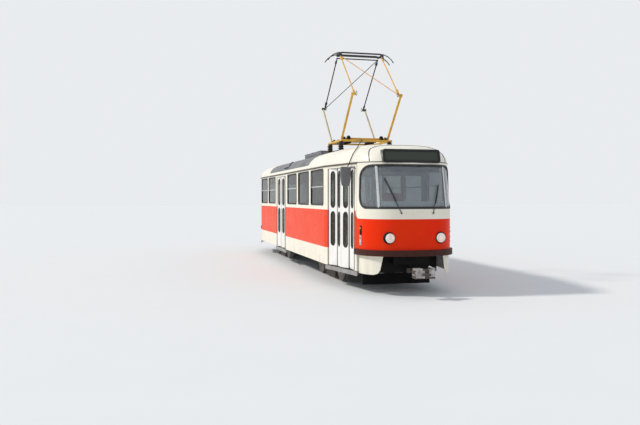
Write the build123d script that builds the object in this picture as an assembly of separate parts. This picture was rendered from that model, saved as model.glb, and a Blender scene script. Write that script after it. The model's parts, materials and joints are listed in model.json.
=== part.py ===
from build123d import *

import os
from math import cos, pi, radians, sin, sqrt, tan

# A four-axle street tram with three folding doorways and a diamond pantograph.
#
# X runs forward, Y to the tram's left and Z up. Every height is measured above the rail head, and the
# finished pieces are lifted by the flange depth, so that the tram stands on its flanges at Z = 0.
# Sizes are in millimetres.


# Body plan
HALF_WIDTH = 1250
FRONT_X = 6950
REAR_X = -6950
FRONT_TAPER_X = 4400
REAR_TAPER_X = -4900
FRONT_TAPER = 8.2
REAR_TAPER = 9.6
CORNER_R = 700
FACE_TURN = 12.5
WALL = 50
FAR = 2 * FRONT_X

# Body heights above the rail head
SKIRT_Z = 430
FLOOR_Z = 900
FLOOR_PLATE = 60
UNDER_Z = FLOOR_Z - FLOOR_PLATE
LEAN_Z = 1720
WALL_TOP_Z = 2660
SCREEN_LEAN = 230
REAR_LEAN = 120
ROOF_TOP_Z = 3160
ROOF_T = 45
GUTTER = 20
BAND_CHORDS = 8
CHORDS = 4
TUBE_SIDES = 12

# Side windows
WINDOW_W = 1290
WINDOW_PITCH = 1520
WINDOW_LOW_Z = 1782
WINDOW_TOP_Z = 2610
WINDOW_R = 55
GLASS_T = 8
SKIN_T = 14
REBATE = 12
FRONT_WINDOW_X = 3675
REAR_WINDOW_X = -2650
MIDDLE_WINDOW_X = -1005
CAB_WINDOW_X = 5330
TAIL_WINDOW_X = -5700

# Doorways
DOOR_W = 1400
MIDDLE_DOOR_X = -1040
DOOR_TOP_Z = 2606
DOOR_FOOT_Z = 432
LEAF_GAP = 7
LEAF_T = 30
LEAF_V = 9
JAMB_GAP = 12
MEETING_GAP = 10
KNUCKLE_GAP = 12
KNUCKLE_OUT = 3
HINGE_R = 5
LUG_LAP = 3
LUG_END = 30
PIVOT_INSET = 25
PIVOT_R = 10
PIVOT_H = 5
LEAF_DEPTH = 32
PANE_W = 180
PANE_LOW = (880, 1640)
PANE_HIGH = (1730, 2540)
PANE_T = 6
LEAF_SKIN = 10
DOOR_SWING = 76

# Step wells
STEP_LOW_Z = 400
STEP_HIGH_Z = 650
STEP_LOW_RUN = 400
STEP_HIGH_RUN = 240
STEP_PLATE = 25
STEP_EDGE = 90
STEP_EDGE_RISE = 20
STEP_EDGE_OUT = 10
STEP_EDGE_IN = 10
STEP_SIDE = 150
STEP_SIDE_T = 12

# Ends: the panel joints keep their distance from the end doorways
FRONT_PANEL_X = CAB_WINDOW_X + DOOR_W / 2 + 120
REAR_PANEL_X = TAIL_WINDOW_X - DOOR_W / 2 - 80
SCREEN_LOW_Z = 1745
SCREEN_TOP_Z = 2600
SCREEN_BACK = 130
SCREEN_R = 240
SCREEN_INSET = 12
BUMPER_Z = 780
BUMPER_H = 120
BUMPER_T = 50
BUMPER_LAP = 30
APRON_Z = 400
APRON_REACH = 610
APRON_IN_Y = HALF_WIDTH - APRON_REACH
APRON_EDGE = [(APRON_IN_Y, BUMPER_Z), (APRON_IN_Y + 50, 500), (APRON_IN_Y + 90, 430), (APRON_IN_Y + 160, APRON_Z)]
APRON_INSET = 25
APRON_T = 20
APRON_BACK = 60

# Route display: its street face as foot and top, x and z
SIGN_FACE = ((6716, 2668), (6650, 2915))
SIGN_IN = 638
SIGN_HALF_W = HALF_WIDTH - SIGN_IN
SIGN_DEPTH = 140
SIGN_CLEAR = 40

# Running gear
PIVOT_X = 3200
WHEELBASE = 1900
WHEEL_R = 350
FLANGE = 22
FLANGE_W = 28
TYRE_W = 90
WHEEL_BACK = 690
AXLE_R = 65
KINGPIN_R = 70
KINGPIN_Z = 560
KINGPIN_PLAY = 2
JOURNAL_PLAY = 1
BEAM_Y = 540
BEAM_W = 100
BEAM_Z = (470, 620)
BEAM_OVERHANG = 130
BOLSTER_HALF = 180
BOLSTER_Z = (540, 700)
CROSSBAR_T = 40
CROSSBAR_Z = 560
BOX_R = 110
MOTOR_R = 155
MOTOR_L = 620
MOTOR_X = 110
MOTOR_Y = 235
MOTOR_Z = 375
SHAFT_HALF = 45
SHAFT_X = 400
GEAR_W = 170
GEAR_R = 170
MOTOR_LUG = 50
BRAKE_Y = (700, 780)
BRAKE_Z = (12, 150)
BRAKE_L = 860
HANGER_X = 300
HANGER_HALF = 25
HANGER_IN = 20
HANGER_H = 40

# Couplers
COUPLER_PIN_X = 6620
COUPLER_Z = 470
COUPLER_TIP_X = 7552
COUPLER_HEAD_X = 7230
COUPLER_HEAD = (200, 400, 170)
COUPLER_EYE_H = 90
COUPLER_PIN_LOW = 70
COUPLER_PIN_L = 210
TONGUE_W = 130
TONGUE_T = 50
TONGUE_HOLE_X = 7500
TONGUE_HOLE_R = 17.5
BAR_R = 38
COUPLER_PIN_R = 30

# Pantograph
PANTO_X = 3050
PANTO_BASE_Z = 3400
PANTO_BASE_HALF = 480
PANTO_HALF_W = 622
KNEE_OUT = 1410
KNEE_Z = 4350
HEAD_PIN_OUT = 160
HEAD_Z = 5470
LOWER_FRONT_R = 28
LOWER_REAR_R = 20
CROSS_R = 20
KNEE_LOWER_R = 32
KNEE_UPPER_R = 30
UPPER_R = 15
BRACE_R = 9
RAIL_HALF_L = 640
RAIL_HALF_W = 30
RAIL_DROP = (75, 35)
END_BAR_X = 600
END_BAR_HALF = 40
BEARING_HALF = 30
BEARING_Y = (110, 80)
INSULATOR_X = 520
INSULATOR_R = 45
STRIP_GAP = 300
STRIP_FLAT = 1020
STRIP_TOP_Z = HEAD_Z + 105
STRIP_W = 34
STRIP_T = 24
HORN_R = 12
HORN_BEND_R = 416
HORN_TURN = 60
HORN_CHORDS = 4
HEAD_PLATE_Y = (60, 40)
HEAD_PLATE_HALF = 22

# Roof contours. Columns: height, distances in from the body's side, nose and tail, corner radius
ROOF_ROWS = [
    (WALL_TOP_Z, 0, SCREEN_LEAN, REAR_LEAN, CORNER_R),
    (2760, 15, 250, 150, CORNER_R),
    (2860, 65, 310, 190, CORNER_R),
    (2950, 155, 430, 290, 660),
    (3020, 290, 650, 450, 580),
    (3075, 480, 1050, 750, 440),
    (3120, 700, 1650, 1200, 280),
    (ROOF_TOP_Z, 960, 2250, 1750, 60),
]

# Floor beams on both sides, under the plate. Columns: x from, x to, y from, y to
BEAM_DEPTH = 130
SIDE_BEAM_CLEAR = 40
SIDE_BEAM_W = 100
SIDE_BEAM_Y = HALF_WIDTH - WALL - STEP_LOW_RUN - STEP_HIGH_RUN - SIDE_BEAM_CLEAR
FLOOR_BEAMS = [
    (-1600, 1600, SIDE_BEAM_Y - SIDE_BEAM_W, SIDE_BEAM_Y),
    (4750, 6500, 150, 220),
    (-6500, -4750, 150, 220),
]
BODY_BOLSTER_IN = 250
BODY_BOLSTER = (150, HALF_WIDTH - BODY_BOLSTER_IN, 60)
END_BEAM_X = (6450, 6700)
END_BEAM_HALF = 380
END_BEAM_RISE = 130
CLOSER_X = (6430, 6460)
CLOSER_HALF = APRON_IN_Y
CLOSER_Z = 420

# Boxes hung under the floor between the bogies. Columns: x from, x to, y from, y to, lowest z
BOX_INSET = 120
BOX_W = 570
BOX_OUT_Y = HALF_WIDTH - BOX_INSET
BOX_IN_Y = BOX_OUT_Y - BOX_W
FLOOR_BOXES = [
    (-1550, -250, BOX_IN_Y, BOX_OUT_Y, 500),
    (-150, 650, BOX_IN_Y, BOX_OUT_Y, 460),
    (750, 1550, BOX_IN_Y, BOX_OUT_Y, 540),
    (-100, 1500, -BOX_OUT_Y, -BOX_IN_Y, 480),
]

# Guard under the front end
GUARD_X = (5780, 5810)
GUARD_HALF = 760
GUARD_Z = (100, 330)
GUARD_HANGER_Y = (150, 220)

# A seat's side view, forward and up from the middle of its foot
SEAT_PROFILE = [(-215, 390), (215, 375), (210, 420), (-180, 440), (-270, 880), (-310, 880)]
SEAT_HALF_W = 215
SEAT_STAND = 60
SEAT_STAND_H = 385
SEAT_IN = 370
SEAT_Y = HALF_WIDTH - SEAT_IN
SEATS_RIGHT = (3700, 2950, 2200, 1450, 700, -2400, -3150, -3900)
SEATS_LEFT = (3900, 3150, 2400, 1650, 900, 150, -600, -1350, -2100, -2850, -3600, -4350)

# Driver's place
DESK_INSET = 25
DESK_X = (6230, 6670)
DESK_IN = 300
DESK_HALF = HALF_WIDTH - DESK_IN
DESK_Z = (1500, 1690)
DESK_FOOT_X = (6350, 6650)
DESK_FOOT_IN = 500
DESK_FOOT_HALF = HALF_WIDTH - DESK_FOOT_IN
DRIVER_X = (5500, 5580, 6000)
DRIVER_HALF = 230
DRIVER_Z = (1330, 1420, 2050)
DRIVER_POST = (5700, 5860, 80)
BULKHEAD_X = (4780, 4820)
BULKHEAD_IN = 160
BULKHEAD_Y = (-250, HALF_WIDTH - BULKHEAD_IN)
BULKHEAD_TOP_Z = 2560
BULKHEAD_POST = 110
BULKHEAD_LIGHT = (-150, BULKHEAD_Y[1] - BULKHEAD_POST, 1700, 2450)

# Grab poles: x, y
POLE_R = 17
POLES = [(4500, -420), (150, -520), (-2050, -520), (-4750, -480), (1800, 380), (-800, 380), (-3400, 380)]

# Lamps
HEADLAMP_IN = 710
HEADLAMP = (HALF_WIDTH - HEADLAMP_IN, 1145, 97)
HEADLAMP_DEPTH = (40, 45)
TAIL_LAMP_IN = 690
TAIL_LAMP_Y = HALF_WIDTH - TAIL_LAMP_IN
TAIL_LAMPS_Z = (1050, 1210)
TAIL_LAMP_R = 60
TAIL_LAMP_DEPTH = (40, 22)

# Mirror housing: its outline from the tram's rear, y outward and z up from its middle
MIRROR_OUTLINE = [
    (-92, 203), (92, 203), (115, 180), (112, 0), (90, -170),
    (58, -205), (-58, -205), (-90, -170), (-112, 0), (-115, 180),
]
MIRROR_IN = 60
MIRROR_AT = (5980, MIRROR_IN - HALF_WIDTH, 2390)
MIRROR_T = 80
MIRROR_ARM_X = 6090
MIRROR_ARM_Z = 2560
MIRROR_ARM_R = 13

# Wipers: distances of pivot and tip in from the body's side, then pivot y, tip y, tip z
RIGHT_WIPER_IN = (940, 650)
LEFT_WIPER_IN = (880, 720)
WIPERS = [
    (RIGHT_WIPER_IN[0] - HALF_WIDTH, RIGHT_WIPER_IN[1] - HALF_WIDTH, 2330),
    (HALF_WIDTH - LEFT_WIPER_IN[0], HALF_WIDTH - LEFT_WIPER_IN[1], 2200),
]
WIPER_PIVOT_Z = 1640
WIPER_PIVOT_R = 16
WIPER_R = 8
WIPER_PROUD = 20

# Resistor housing on the roof behind the pantograph
HOUSING_X = (-1400, 700)
HOUSING_HALF = 420
HOUSING_RISE = 127
HOUSING_SINK = 40


# A bar grows along Z from its foot, and a side pane inward from its street face
UPWARD = (Align.CENTER, Align.CENTER, Align.MIN)
INWARD = (Align.CENTER, Align.MIN, Align.CENTER)


def save(name, *shapes):
    """Lifts the shapes on to the flanges and writes them as one node."""
    whole = Compound(children=[s for shape in shapes for s in shape.solids()])
    export_step(whole.moved(Location((0, 0, FLANGE))), f"parts/{name}.step")


def block(x, y, z):
    """A box between pairs of coordinates."""
    size = [max(pair) - min(pair) for pair in (x, y, z)]
    return Pos(min(x), min(y), min(z)) * Box(*size, align=Align.MIN)


def about(middle, half):
    """The pair of coordinates at a distance on both sides of a middle."""
    return middle - half, middle + half


def mirrored(side, pair):
    """A pair of coordinates, on the left as it is or mirrored to the right."""
    return side * pair[0], side * pair[1]


def post(x, y, low, radius, height):
    """An upright round bar."""
    return Pos(x, y, low) * Cylinder(radius, height, align=UPWARD)


def across(x, z, radius, length):
    """A round bar through the middle plane, along Y."""
    return Pos(x, 0, z) * Rot(90, 0, 0) * Cylinder(radius, length)


def rod(start, end, radius):
    """A round bar between two points."""
    along = Vector(end) - Vector(start)
    return Plane(start, z_dir=along) * Cylinder(radius, along.length, align=UPWARD)


def tube(start, end, radius):
    """A slim bar between two points, with TUBE_SIDES flats in place of its round."""
    along = Vector(end) - Vector(start)
    section = Plane(start, z_dir=along) * RegularPolygon(radius, TUBE_SIDES)
    return extrude(section, amount=along.length, dir=along)


def total(shapes):
    """The shapes joined into one."""
    whole = shapes[0]
    for shape in shapes[1:]:
        whole += shape
    return whole


def around(centre, radius, angle):
    """The point of a circle at an angle."""
    return centre[0] + radius * cos(angle), centre[1] + radius * sin(angle)


def corner_angles(end):
    """The directions from a corner's centre to its two ends, from the taper to the face."""
    return pi / 2 - radians(FRONT_TAPER if end > 0 else REAR_TAPER), radians(FACE_TURN)


def end_arcs(end, half_width=HALF_WIDTH, tip=None, corner_r=CORNER_R, inset=0):
    """The corner arc and the face arc of one end: taper start, centres and radii.

    The corner arc always meets the face arc at the same angle, so that the matching sides of two such plans
    are parallel whatever their size.
    """
    taper_x, skin_tip = (FRONT_TAPER_X, FRONT_X) if end > 0 else (-REAR_TAPER_X, -REAR_X)
    slope, turn = radians(FRONT_TAPER if end > 0 else REAR_TAPER), radians(FACE_TURN)
    start_x = taper_x - inset * tan(slope / 2)
    width, reach, radius = half_width - inset, (tip or skin_tip) - inset, corner_r - inset
    share = tan(turn / 2)
    fixed = radius * (cos(turn) - sin(slope)) + share * (width + radius * (sin(turn) - cos(slope)))
    run = (reach - start_x - fixed) / (cos(slope) - share * sin(slope))
    join = (start_x + run * cos(slope), width - run * sin(slope))
    centre = (join[0] - radius * sin(slope), join[1] - radius * cos(slope))
    face_r = centre[1] / sin(turn) + radius
    return (start_x, width), centre, radius, (reach - face_r, 0), face_r


def end_edges(end, inset):
    """The edges of one end's plan: its face arc, and a taper and a corner arc on each side."""
    start, centre, radius, face_centre, face_r = end_arcs(end, inset=inset)
    first, turn = corner_angles(end)
    runs = [[around(face_centre, face_r, angle) for angle in (turn, 0, -turn)]]
    for side in (-1, 1):
        corner = [around(centre, radius, angle) for angle in (first, (first + turn) / 2, turn)]
        runs.append([(x, side * y) for x, y in (start, corner[0])])
        runs.append([(x, side * y) for x, y in corner])
    placed = [[(end * x, y) for x, y in points] for points in runs]
    return [ThreePointArc(*points) if len(points) == 3 else Line(*points) for points in placed]


def outline(inset=0):
    """The body's plan as a face within its arcs, inset evenly from the skin."""
    edges = end_edges(1, inset) + end_edges(-1, inset)
    front_x, rear_x = (end * end_arcs(end, inset=inset)[0][0] for end in (1, -1))
    for side in (-1, 1):
        y = side * (HALF_WIDTH - inset)
        edges.append(Line((rear_x, y), (front_x, y)))
    return make_face(edges)


def end_points(end, half_width, tip, corner, inset):
    """The points of one end's plan from left to right, with chords in place of its arcs."""
    start, centre, radius, face_centre, face_r = end_arcs(end, half_width, tip, corner, inset)
    first, turn = corner_angles(end)
    half = [start]
    half += [around(centre, radius, first + (turn - first) * i / BAND_CHORDS) for i in range(BAND_CHORDS)]
    half += [around(face_centre, face_r, turn * (1 - 2 * i / BAND_CHORDS)) for i in range(BAND_CHORDS // 2)]
    points = half + [around(face_centre, face_r, 0)] + [(x, -y) for x, y in reversed(half)]
    return [(end * x, y) for x, y in points]


def contour(inset=0, half_width=HALF_WIDTH, front=FRONT_X, rear=REAR_X, corner=CORNER_R):
    """The points round the body's plan, or round a smaller plan of its kind."""
    front_points = end_points(1, half_width, front, corner, inset)
    return front_points + end_points(-1, half_width, -rear, corner, inset)[::-1]


def faceted(inset):
    """The body's plan as a face within its chords."""
    return make_face(Polyline(*contour(inset), close=True))


def stack(levels):
    """A solid through contours at rising heights whose matching sides are parallel, all of its faces flat."""
    rings = [[(x, y, z) for x, y in points] for z, points in levels]
    polygons = [rings[0], rings[-1]]
    for low, high in zip(rings, rings[1:]):
        for i in range(len(low)):
            polygons.append([low[i - 1], low[i], high[i], high[i - 1]])
    return Solid(Shell([Face(Wire.make_polygon(points, close=True)) for points in polygons]))


def face_x(y, end=1):
    """The x of the end's skin below the screen, at a distance from the middle."""
    _, _, _, centre, radius = end_arcs(end)
    return end * (centre[0] + sqrt(radius**2 - y**2))


def rounded_face(width, height, radius, chords=CHORDS):
    """A plate's outline in the XZ plane, its corners rounded in chords."""
    points = []
    for turn, (x, z) in enumerate(((1, 1), (-1, 1), (-1, -1), (1, -1))):
        centre = (x * (width / 2 - radius), z * (height / 2 - radius))
        points += [around(centre, radius, pi / 2 * (turn + step / chords)) for step in range(chords + 1)]
    return Plane.XZ * make_face(Polyline(*points, close=True))


def prism(face, low, high):
    """A plan face raised between two heights."""
    return extrude(Pos(0, 0, low) * face, amount=high - low, dir=(0, 0, 1))


def side_view(points, half_width):
    """A side view of x and z points, widened to both sides of the middle plane."""
    return extrude(Plane.XZ * make_face(Polyline(*points, close=True)), amount=half_width, both=True)


def leaning_solid(inset):
    """The body's plan from the window sills to the wall top, with both ends leaning back."""
    top = contour(inset, front=FRONT_X - SCREEN_LEAN, rear=REAR_X + REAR_LEAN)
    return stack([(LEAN_Z, contour(inset)), (WALL_TOP_Z, top)])


def body_shell():
    """The body's four walls as one ring of the walls' thickness."""
    lower = prism(outline() - outline(WALL), SKIRT_Z, LEAN_Z)
    return lower + (leaning_solid(0) - leaning_solid(WALL))


def on_side(x):
    """A plane on the right-hand outer skin at x: local X forward, local Y inward, local Z up."""
    if x > FRONT_TAPER_X:
        y = HALF_WIDTH - (x - FRONT_TAPER_X) * tan(radians(FRONT_TAPER))
        turn = FRONT_TAPER
    elif x < REAR_TAPER_X:
        y = HALF_WIDTH - (REAR_TAPER_X - x) * tan(radians(REAR_TAPER))
        turn = -REAR_TAPER
    else:
        y, turn = HALF_WIDTH, 0
    return Plane((x, -y, 0), x_dir=(cos(radians(turn)), sin(radians(turn)), 0), z_dir=(0, 0, 1))


def side_placed(shape, x, side=-1):
    """A shape made in the local frame of the right-hand skin at x, mirrored for the left-hand skin."""
    placed = on_side(x) * shape
    return placed if side < 0 else mirror(placed, about=Plane.XZ)


def opening_cutter(width, low, high, radius, skin):
    """What a window cuts away: a rounded hole through the outer skin and a square rebate behind it."""
    middle = (low + high) / 2
    hole = Pos(0, -1, middle) * extrude(rounded_face(width, high - low, radius), amount=-(skin + 2))
    size = (width + 2 * REBATE, high - low + 2 * REBATE)
    return hole + Pos(0, skin, middle) * Box(size[0], 2 * WALL, size[1], align=INWARD)


def pane(width, low, high, skin, thickness):
    """The square pane that fills the rebate behind the skin."""
    size = (width + 2 * REBATE, thickness, high - low + 2 * REBATE)
    return Pos(0, skin, (low + high) / 2) * Box(*size, align=INWARD)


# One row for each side opening: x of its centre, side, kind
SIDE_WINDOWS = [
    *[(FRONT_WINDOW_X - i * WINDOW_PITCH, -1) for i in range(3)],
    *[(REAR_WINDOW_X - i * WINDOW_PITCH, -1) for i in range(2)],
    *[(FRONT_WINDOW_X - i * WINDOW_PITCH, 1) for i in range(3)],
    *[(REAR_WINDOW_X - i * WINDOW_PITCH, 1) for i in range(2)],
    (MIDDLE_WINDOW_X, 1),
    (CAB_WINDOW_X, 1),
    (TAIL_WINDOW_X, 1),
]
DOORS = [("front", CAB_WINDOW_X), ("middle", MIDDLE_DOOR_X), ("rear", TAIL_WINDOW_X)]


def make_walls():
    """The two side walls and the two ends, cut from one shell of the body's plan."""
    shell = body_shell()
    panes = []
    window = opening_cutter(WINDOW_W, WINDOW_LOW_Z, WINDOW_TOP_Z, WINDOW_R, SKIN_T)
    glass = pane(WINDOW_W, WINDOW_LOW_Z, WINDOW_TOP_Z, SKIN_T, GLASS_T)
    for x, side in SIDE_WINDOWS:
        shell -= side_placed(window, x, side)
        panes.append(side_placed(glass, x, side))
    doorway = block(about(0, DOOR_W / 2), (-WALL, 2 * WALL), (SKIRT_Z - WALL, DOOR_TOP_Z))
    for _, x in DOORS:
        shell -= side_placed(doorway, x)
    middle_x = (REAR_PANEL_X, FRONT_PANEL_X)
    right = shell & block(middle_x, (-FAR, 0), (SKIRT_Z, WALL_TOP_Z))
    left = shell & block(middle_x, (0, FAR), (SKIRT_Z, WALL_TOP_Z))
    front = shell & block((FRONT_PANEL_X, FAR), (-FAR, FAR), (BUMPER_Z, WALL_TOP_Z))
    rear = shell & block((-FAR, REAR_PANEL_X), (-FAR, FAR), (BUMPER_Z, WALL_TOP_Z))
    return right, left, front, rear, panes


def screen_cut(end, panel_x):
    """The wrap-round opening of one end, with its two rear corners rounded on each side."""
    face = rounded_face(FAR, SCREEN_TOP_Z - SCREEN_LOW_Z, SCREEN_R)
    middle = Pos(panel_x + end * (SCREEN_BACK + FAR / 2), 0, (SCREEN_LOW_Z + SCREEN_TOP_Z) / 2)
    return middle * extrude(face, amount=2 * HALF_WIDTH, both=True)


def make_ends(front, rear):
    """Cuts the screens out of the two ends, and returns the ends and their curved panes."""
    ring = leaning_solid(SCREEN_INSET) - leaning_solid(SCREEN_INSET + GLASS_T)
    made = []
    for end, panel_x, shell in ((1, FRONT_PANEL_X, front), (-1, REAR_PANEL_X, rear)):
        cut = screen_cut(end, panel_x)
        made.append((shell - cut, ring & cut))
    return made


def roof_solid(inset):
    """A dome through the roof's contours, inset sideways and downward."""
    levels = []
    for z, narrow, behind, ahead, corner in ROOF_ROWS:
        rise = (z - WALL_TOP_Z) / (ROOF_TOP_Z - WALL_TOP_Z)
        side = inset * (1 - rise / 2)
        front, rear = FRONT_X - behind - side, REAR_X + ahead + side
        points = contour(0, HALF_WIDTH - narrow - side, front, rear, max(corner - side, corner / 2))
        levels.append((z - inset * rise, points))
    return stack(levels)


def make_sign(proud=0):
    """The route display's box, which leans back with the dome; with a proud face, what clears its front."""
    street = [(x + proud, z) for x, z in SIGN_FACE]
    back = [(x - SIGN_DEPTH, z) for x, z in reversed(SIGN_FACE)]
    return side_view(street + back, SIGN_HALF_W)


def make_roof():
    """The roof skin with its rain gutter, and its solid form."""
    form = roof_solid(0)
    gutter = prism(outline(-GUTTER) - outline(GUTTER), WALL_TOP_Z, WALL_TOP_Z + GUTTER)
    gutter &= block((REAR_PANEL_X, FRONT_PANEL_X), (-FAR, FAR), (0, FAR))
    return form - roof_solid(ROOF_T) + gutter - make_sign(SIGN_CLEAR), form


def make_bumper():
    """The rubbing rail around both ends, each from behind the panel joint."""
    ring = prism(outline(-BUMPER_T) - outline(), BUMPER_Z, BUMPER_Z + BUMPER_H)
    front = ring & block((FRONT_PANEL_X - BUMPER_LAP, FAR), (-FAR, FAR), (0, FAR))
    rear = ring & block((-FAR, REAR_PANEL_X + BUMPER_LAP), (-FAR, FAR), (0, FAR))
    return front, rear


def make_aprons():
    """The white corner panels under both bumpers, cut back round the coupler."""
    ring = prism(outline(APRON_INSET) - outline(APRON_INSET + APRON_T), APRON_Z, BUMPER_Z)
    face = Plane.YZ * make_face(Polyline(*APRON_EDGE, (FAR, APRON_Z), (FAR, BUMPER_Z), close=True))
    pieces = []
    for start, end in ((FRONT_PANEL_X + APRON_BACK, 1), (REAR_PANEL_X - APRON_BACK, -1)):
        left = ring & (Pos(start, 0, 0) * extrude(face, amount=end * FAR))
        pieces += [left, mirror(left, about=Plane.XZ)]
    return pieces


def make_underframe():
    """Floor plate, beams, bolsters with their kingpins, coupler beams and the panels behind the couplers."""
    plate = prism(faceted(WALL + 3), UNDER_Z, FLOOR_Z)
    well = block(about(0, DOOR_W / 2), (0, STEP_LOW_RUN + STEP_HIGH_RUN + WALL), (0, FLOOR_Z + 1))
    for _, x in DOORS:
        plate -= side_placed(well, x)
    for low_x, high_x, low_y, high_y in FLOOR_BEAMS:
        for side in (-1, 1):
            plate += block((low_x, high_x), mirrored(side, (low_y, high_y)), (UNDER_Z - BEAM_DEPTH, UNDER_Z))
    half_l, half_w, depth = BODY_BOLSTER
    for end in (-1, 1):
        plate += block(about(end * PIVOT_X, half_l), (-half_w, half_w), (UNDER_Z - depth, UNDER_Z))
        plate += post(end * PIVOT_X, 0, KINGPIN_Z, KINGPIN_R, UNDER_Z - KINGPIN_Z)
        beam_z = (COUPLER_Z + END_BEAM_RISE, UNDER_Z)
        plate += block(mirrored(end, END_BEAM_X), (-END_BEAM_HALF, END_BEAM_HALF), beam_z)
        plate += block(mirrored(end, CLOSER_X), (-CLOSER_HALF, CLOSER_HALF), (CLOSER_Z, UNDER_Z))
        plate += post(end * COUPLER_PIN_X, 0, COUPLER_Z - COUPLER_PIN_LOW, COUPLER_PIN_R, COUPLER_PIN_L)
    return plate


def make_floor_equipment():
    """The resistor and battery boxes hung under the floor."""
    return [block((x0, x1), (y0, y1), (z, UNDER_Z)) for x0, x1, y0, y1, z in FLOOR_BOXES]


def make_guard():
    """The upright guard plate under the front end, on its two hangers."""
    guard = block(GUARD_X, (-GUARD_HALF, GUARD_HALF), GUARD_Z)
    for side in (-1, 1):
        guard += block(GUARD_X, mirrored(side, GUARD_HANGER_Y), (GUARD_Z[1], UNDER_Z - BEAM_DEPTH))
    return guard


def make_steps():
    """The three stepped wells under the doorways."""
    half, plate = DOOR_W / 2, STEP_PLATE
    sill = STEP_EDGE_IN
    run = WALL + STEP_LOW_RUN
    deep = run + STEP_HIGH_RUN
    wells = []
    well = block((-half, half), (sill, run), (STEP_LOW_Z - plate, STEP_LOW_Z))
    well += block((-half, half), (run, run + plate), (STEP_LOW_Z - plate, STEP_HIGH_Z))
    well += block((-half, half), (run + plate, deep), (STEP_HIGH_Z - plate, STEP_HIGH_Z))
    well += block((-half, half), (deep - plate, deep), (STEP_HIGH_Z, FLOOR_Z))
    edge_top = STEP_LOW_Z + STEP_EDGE_RISE
    well += block(about(0, half + STEP_SIDE), (-STEP_EDGE_OUT, sill), (edge_top - STEP_EDGE, edge_top))
    for end in (-1, 1):
        cheek_x = mirrored(end, (half - STEP_SIDE_T, half))
        well += block(cheek_x, (WALL, run), (STEP_LOW_Z, FLOOR_Z))
        well += block(cheek_x, (run, deep), (STEP_HIGH_Z, FLOOR_Z))
    for _, x in DOORS:
        wells.append(side_placed(well, x))
    return wells


def leaf_layout():
    """Where a folding pair's pivot, knuckle and leaf length lie in the doorway's frame, for the rear pair."""
    lean = radians(LEAF_V)
    start = -DOOR_W / 2 + JAMB_GAP
    pivot = (start + PIVOT_INSET * cos(lean), LEAF_DEPTH)
    knuckle_s = (start - MEETING_GAP / 2) / 2
    # Along the leaf from its pivot to the knuckle, which lies off the leaf's street face.
    off = LEAF_T / 2 + KNUCKLE_OUT
    along = (knuckle_s - pivot[0] - off * sin(lean)) / cos(lean)
    length = along + PIVOT_INSET - KNUCKLE_GAP / 2
    knuckle = (knuckle_s, pivot[1] + along * sin(lean) - off * cos(lean))
    return pivot, knuckle, length


def make_leaf(hinged):
    """One door leaf with its top pivot and two long panes, in the frame of the rear pair's outer leaf.

    The outer leaf also carries the long hinge pin that its inner leaf folds on.
    """
    pivot, _, length = leaf_layout()
    low, high = DOOR_FOOT_Z + LEAF_GAP, DOOR_TOP_Z - LEAF_GAP
    middle = length / 2 - PIVOT_INSET
    street = -LEAF_T / 2
    leaf = block(about(middle, length / 2), (street, -street), (low, high))
    leaf += post(0, 0, high, PIVOT_R, PIVOT_H)
    if hinged:
        knuckle_x = length - PIVOT_INSET + KNUCKLE_GAP / 2
        lug_x = (knuckle_x - KNUCKLE_GAP / 2 - LUG_LAP, knuckle_x)
        leaf += post(knuckle_x, street - KNUCKLE_OUT, low + LUG_END, HINGE_R, high - low - 2 * LUG_END)
        lug_y = (street - KNUCKLE_OUT, street + KNUCKLE_OUT)
        leaf += block(lug_x, lug_y, (low + LUG_END, high - LUG_END))
    solids = []
    for bottom, top in (PANE_LOW, PANE_HIGH):
        leaf -= Pos(middle, street, 0) * opening_cutter(PANE_W, bottom, top, PANE_W / 2 - 1, LEAF_SKIN)
        solids.append(Pos(middle, street, 0) * pane(PANE_W, bottom, top, LEAF_SKIN, PANE_T))
    placed = Pos(pivot[0], pivot[1], 0) * Rot(0, 0, LEAF_V)
    return [placed * solid for solid in (leaf, *solids)]


def make_doors():
    """Twelve leaves: in each doorway the rear pair, and the front pair as its mirror image."""
    _, knuckle, _ = leaf_layout()
    inner = [mirror(solid, about=Plane.YZ.offset(knuckle[0])) for solid in make_leaf(False)]
    pair = {"outer": make_leaf(True), "inner": inner}
    doors = {}
    for name, x in DOORS:
        for leaf, solids in pair.items():
            doors[f"door_{name}_rear_{leaf}"] = [side_placed(s, x) for s in solids]
            doors[f"door_{name}_front_{leaf}"] = [side_placed(mirror(s, about=Plane.YZ), x) for s in solids]
    return doors


# A wheel's section. Columns: distance out from the wheel's back face, radius
WHEEL_SECTION = [(0, 0), (0, WHEEL_R + FLANGE), (FLANGE_W, WHEEL_R), (TYRE_W, WHEEL_R), (TYRE_W, 0)]


def make_wheelset(x):
    """Two flanged wheels on one axle."""
    profile = [(WHEEL_BACK + out, radius) for out, radius in WHEEL_SECTION]
    wheel = Rot(0, 0, 90) * revolve(make_face(Polyline(*profile, close=True)), Axis.X)
    return Pos(x, 0, WHEEL_R) * (wheel + mirror(wheel, about=Plane.XZ) + across(0, 0, AXLE_R, 2 * WHEEL_BACK))


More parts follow.
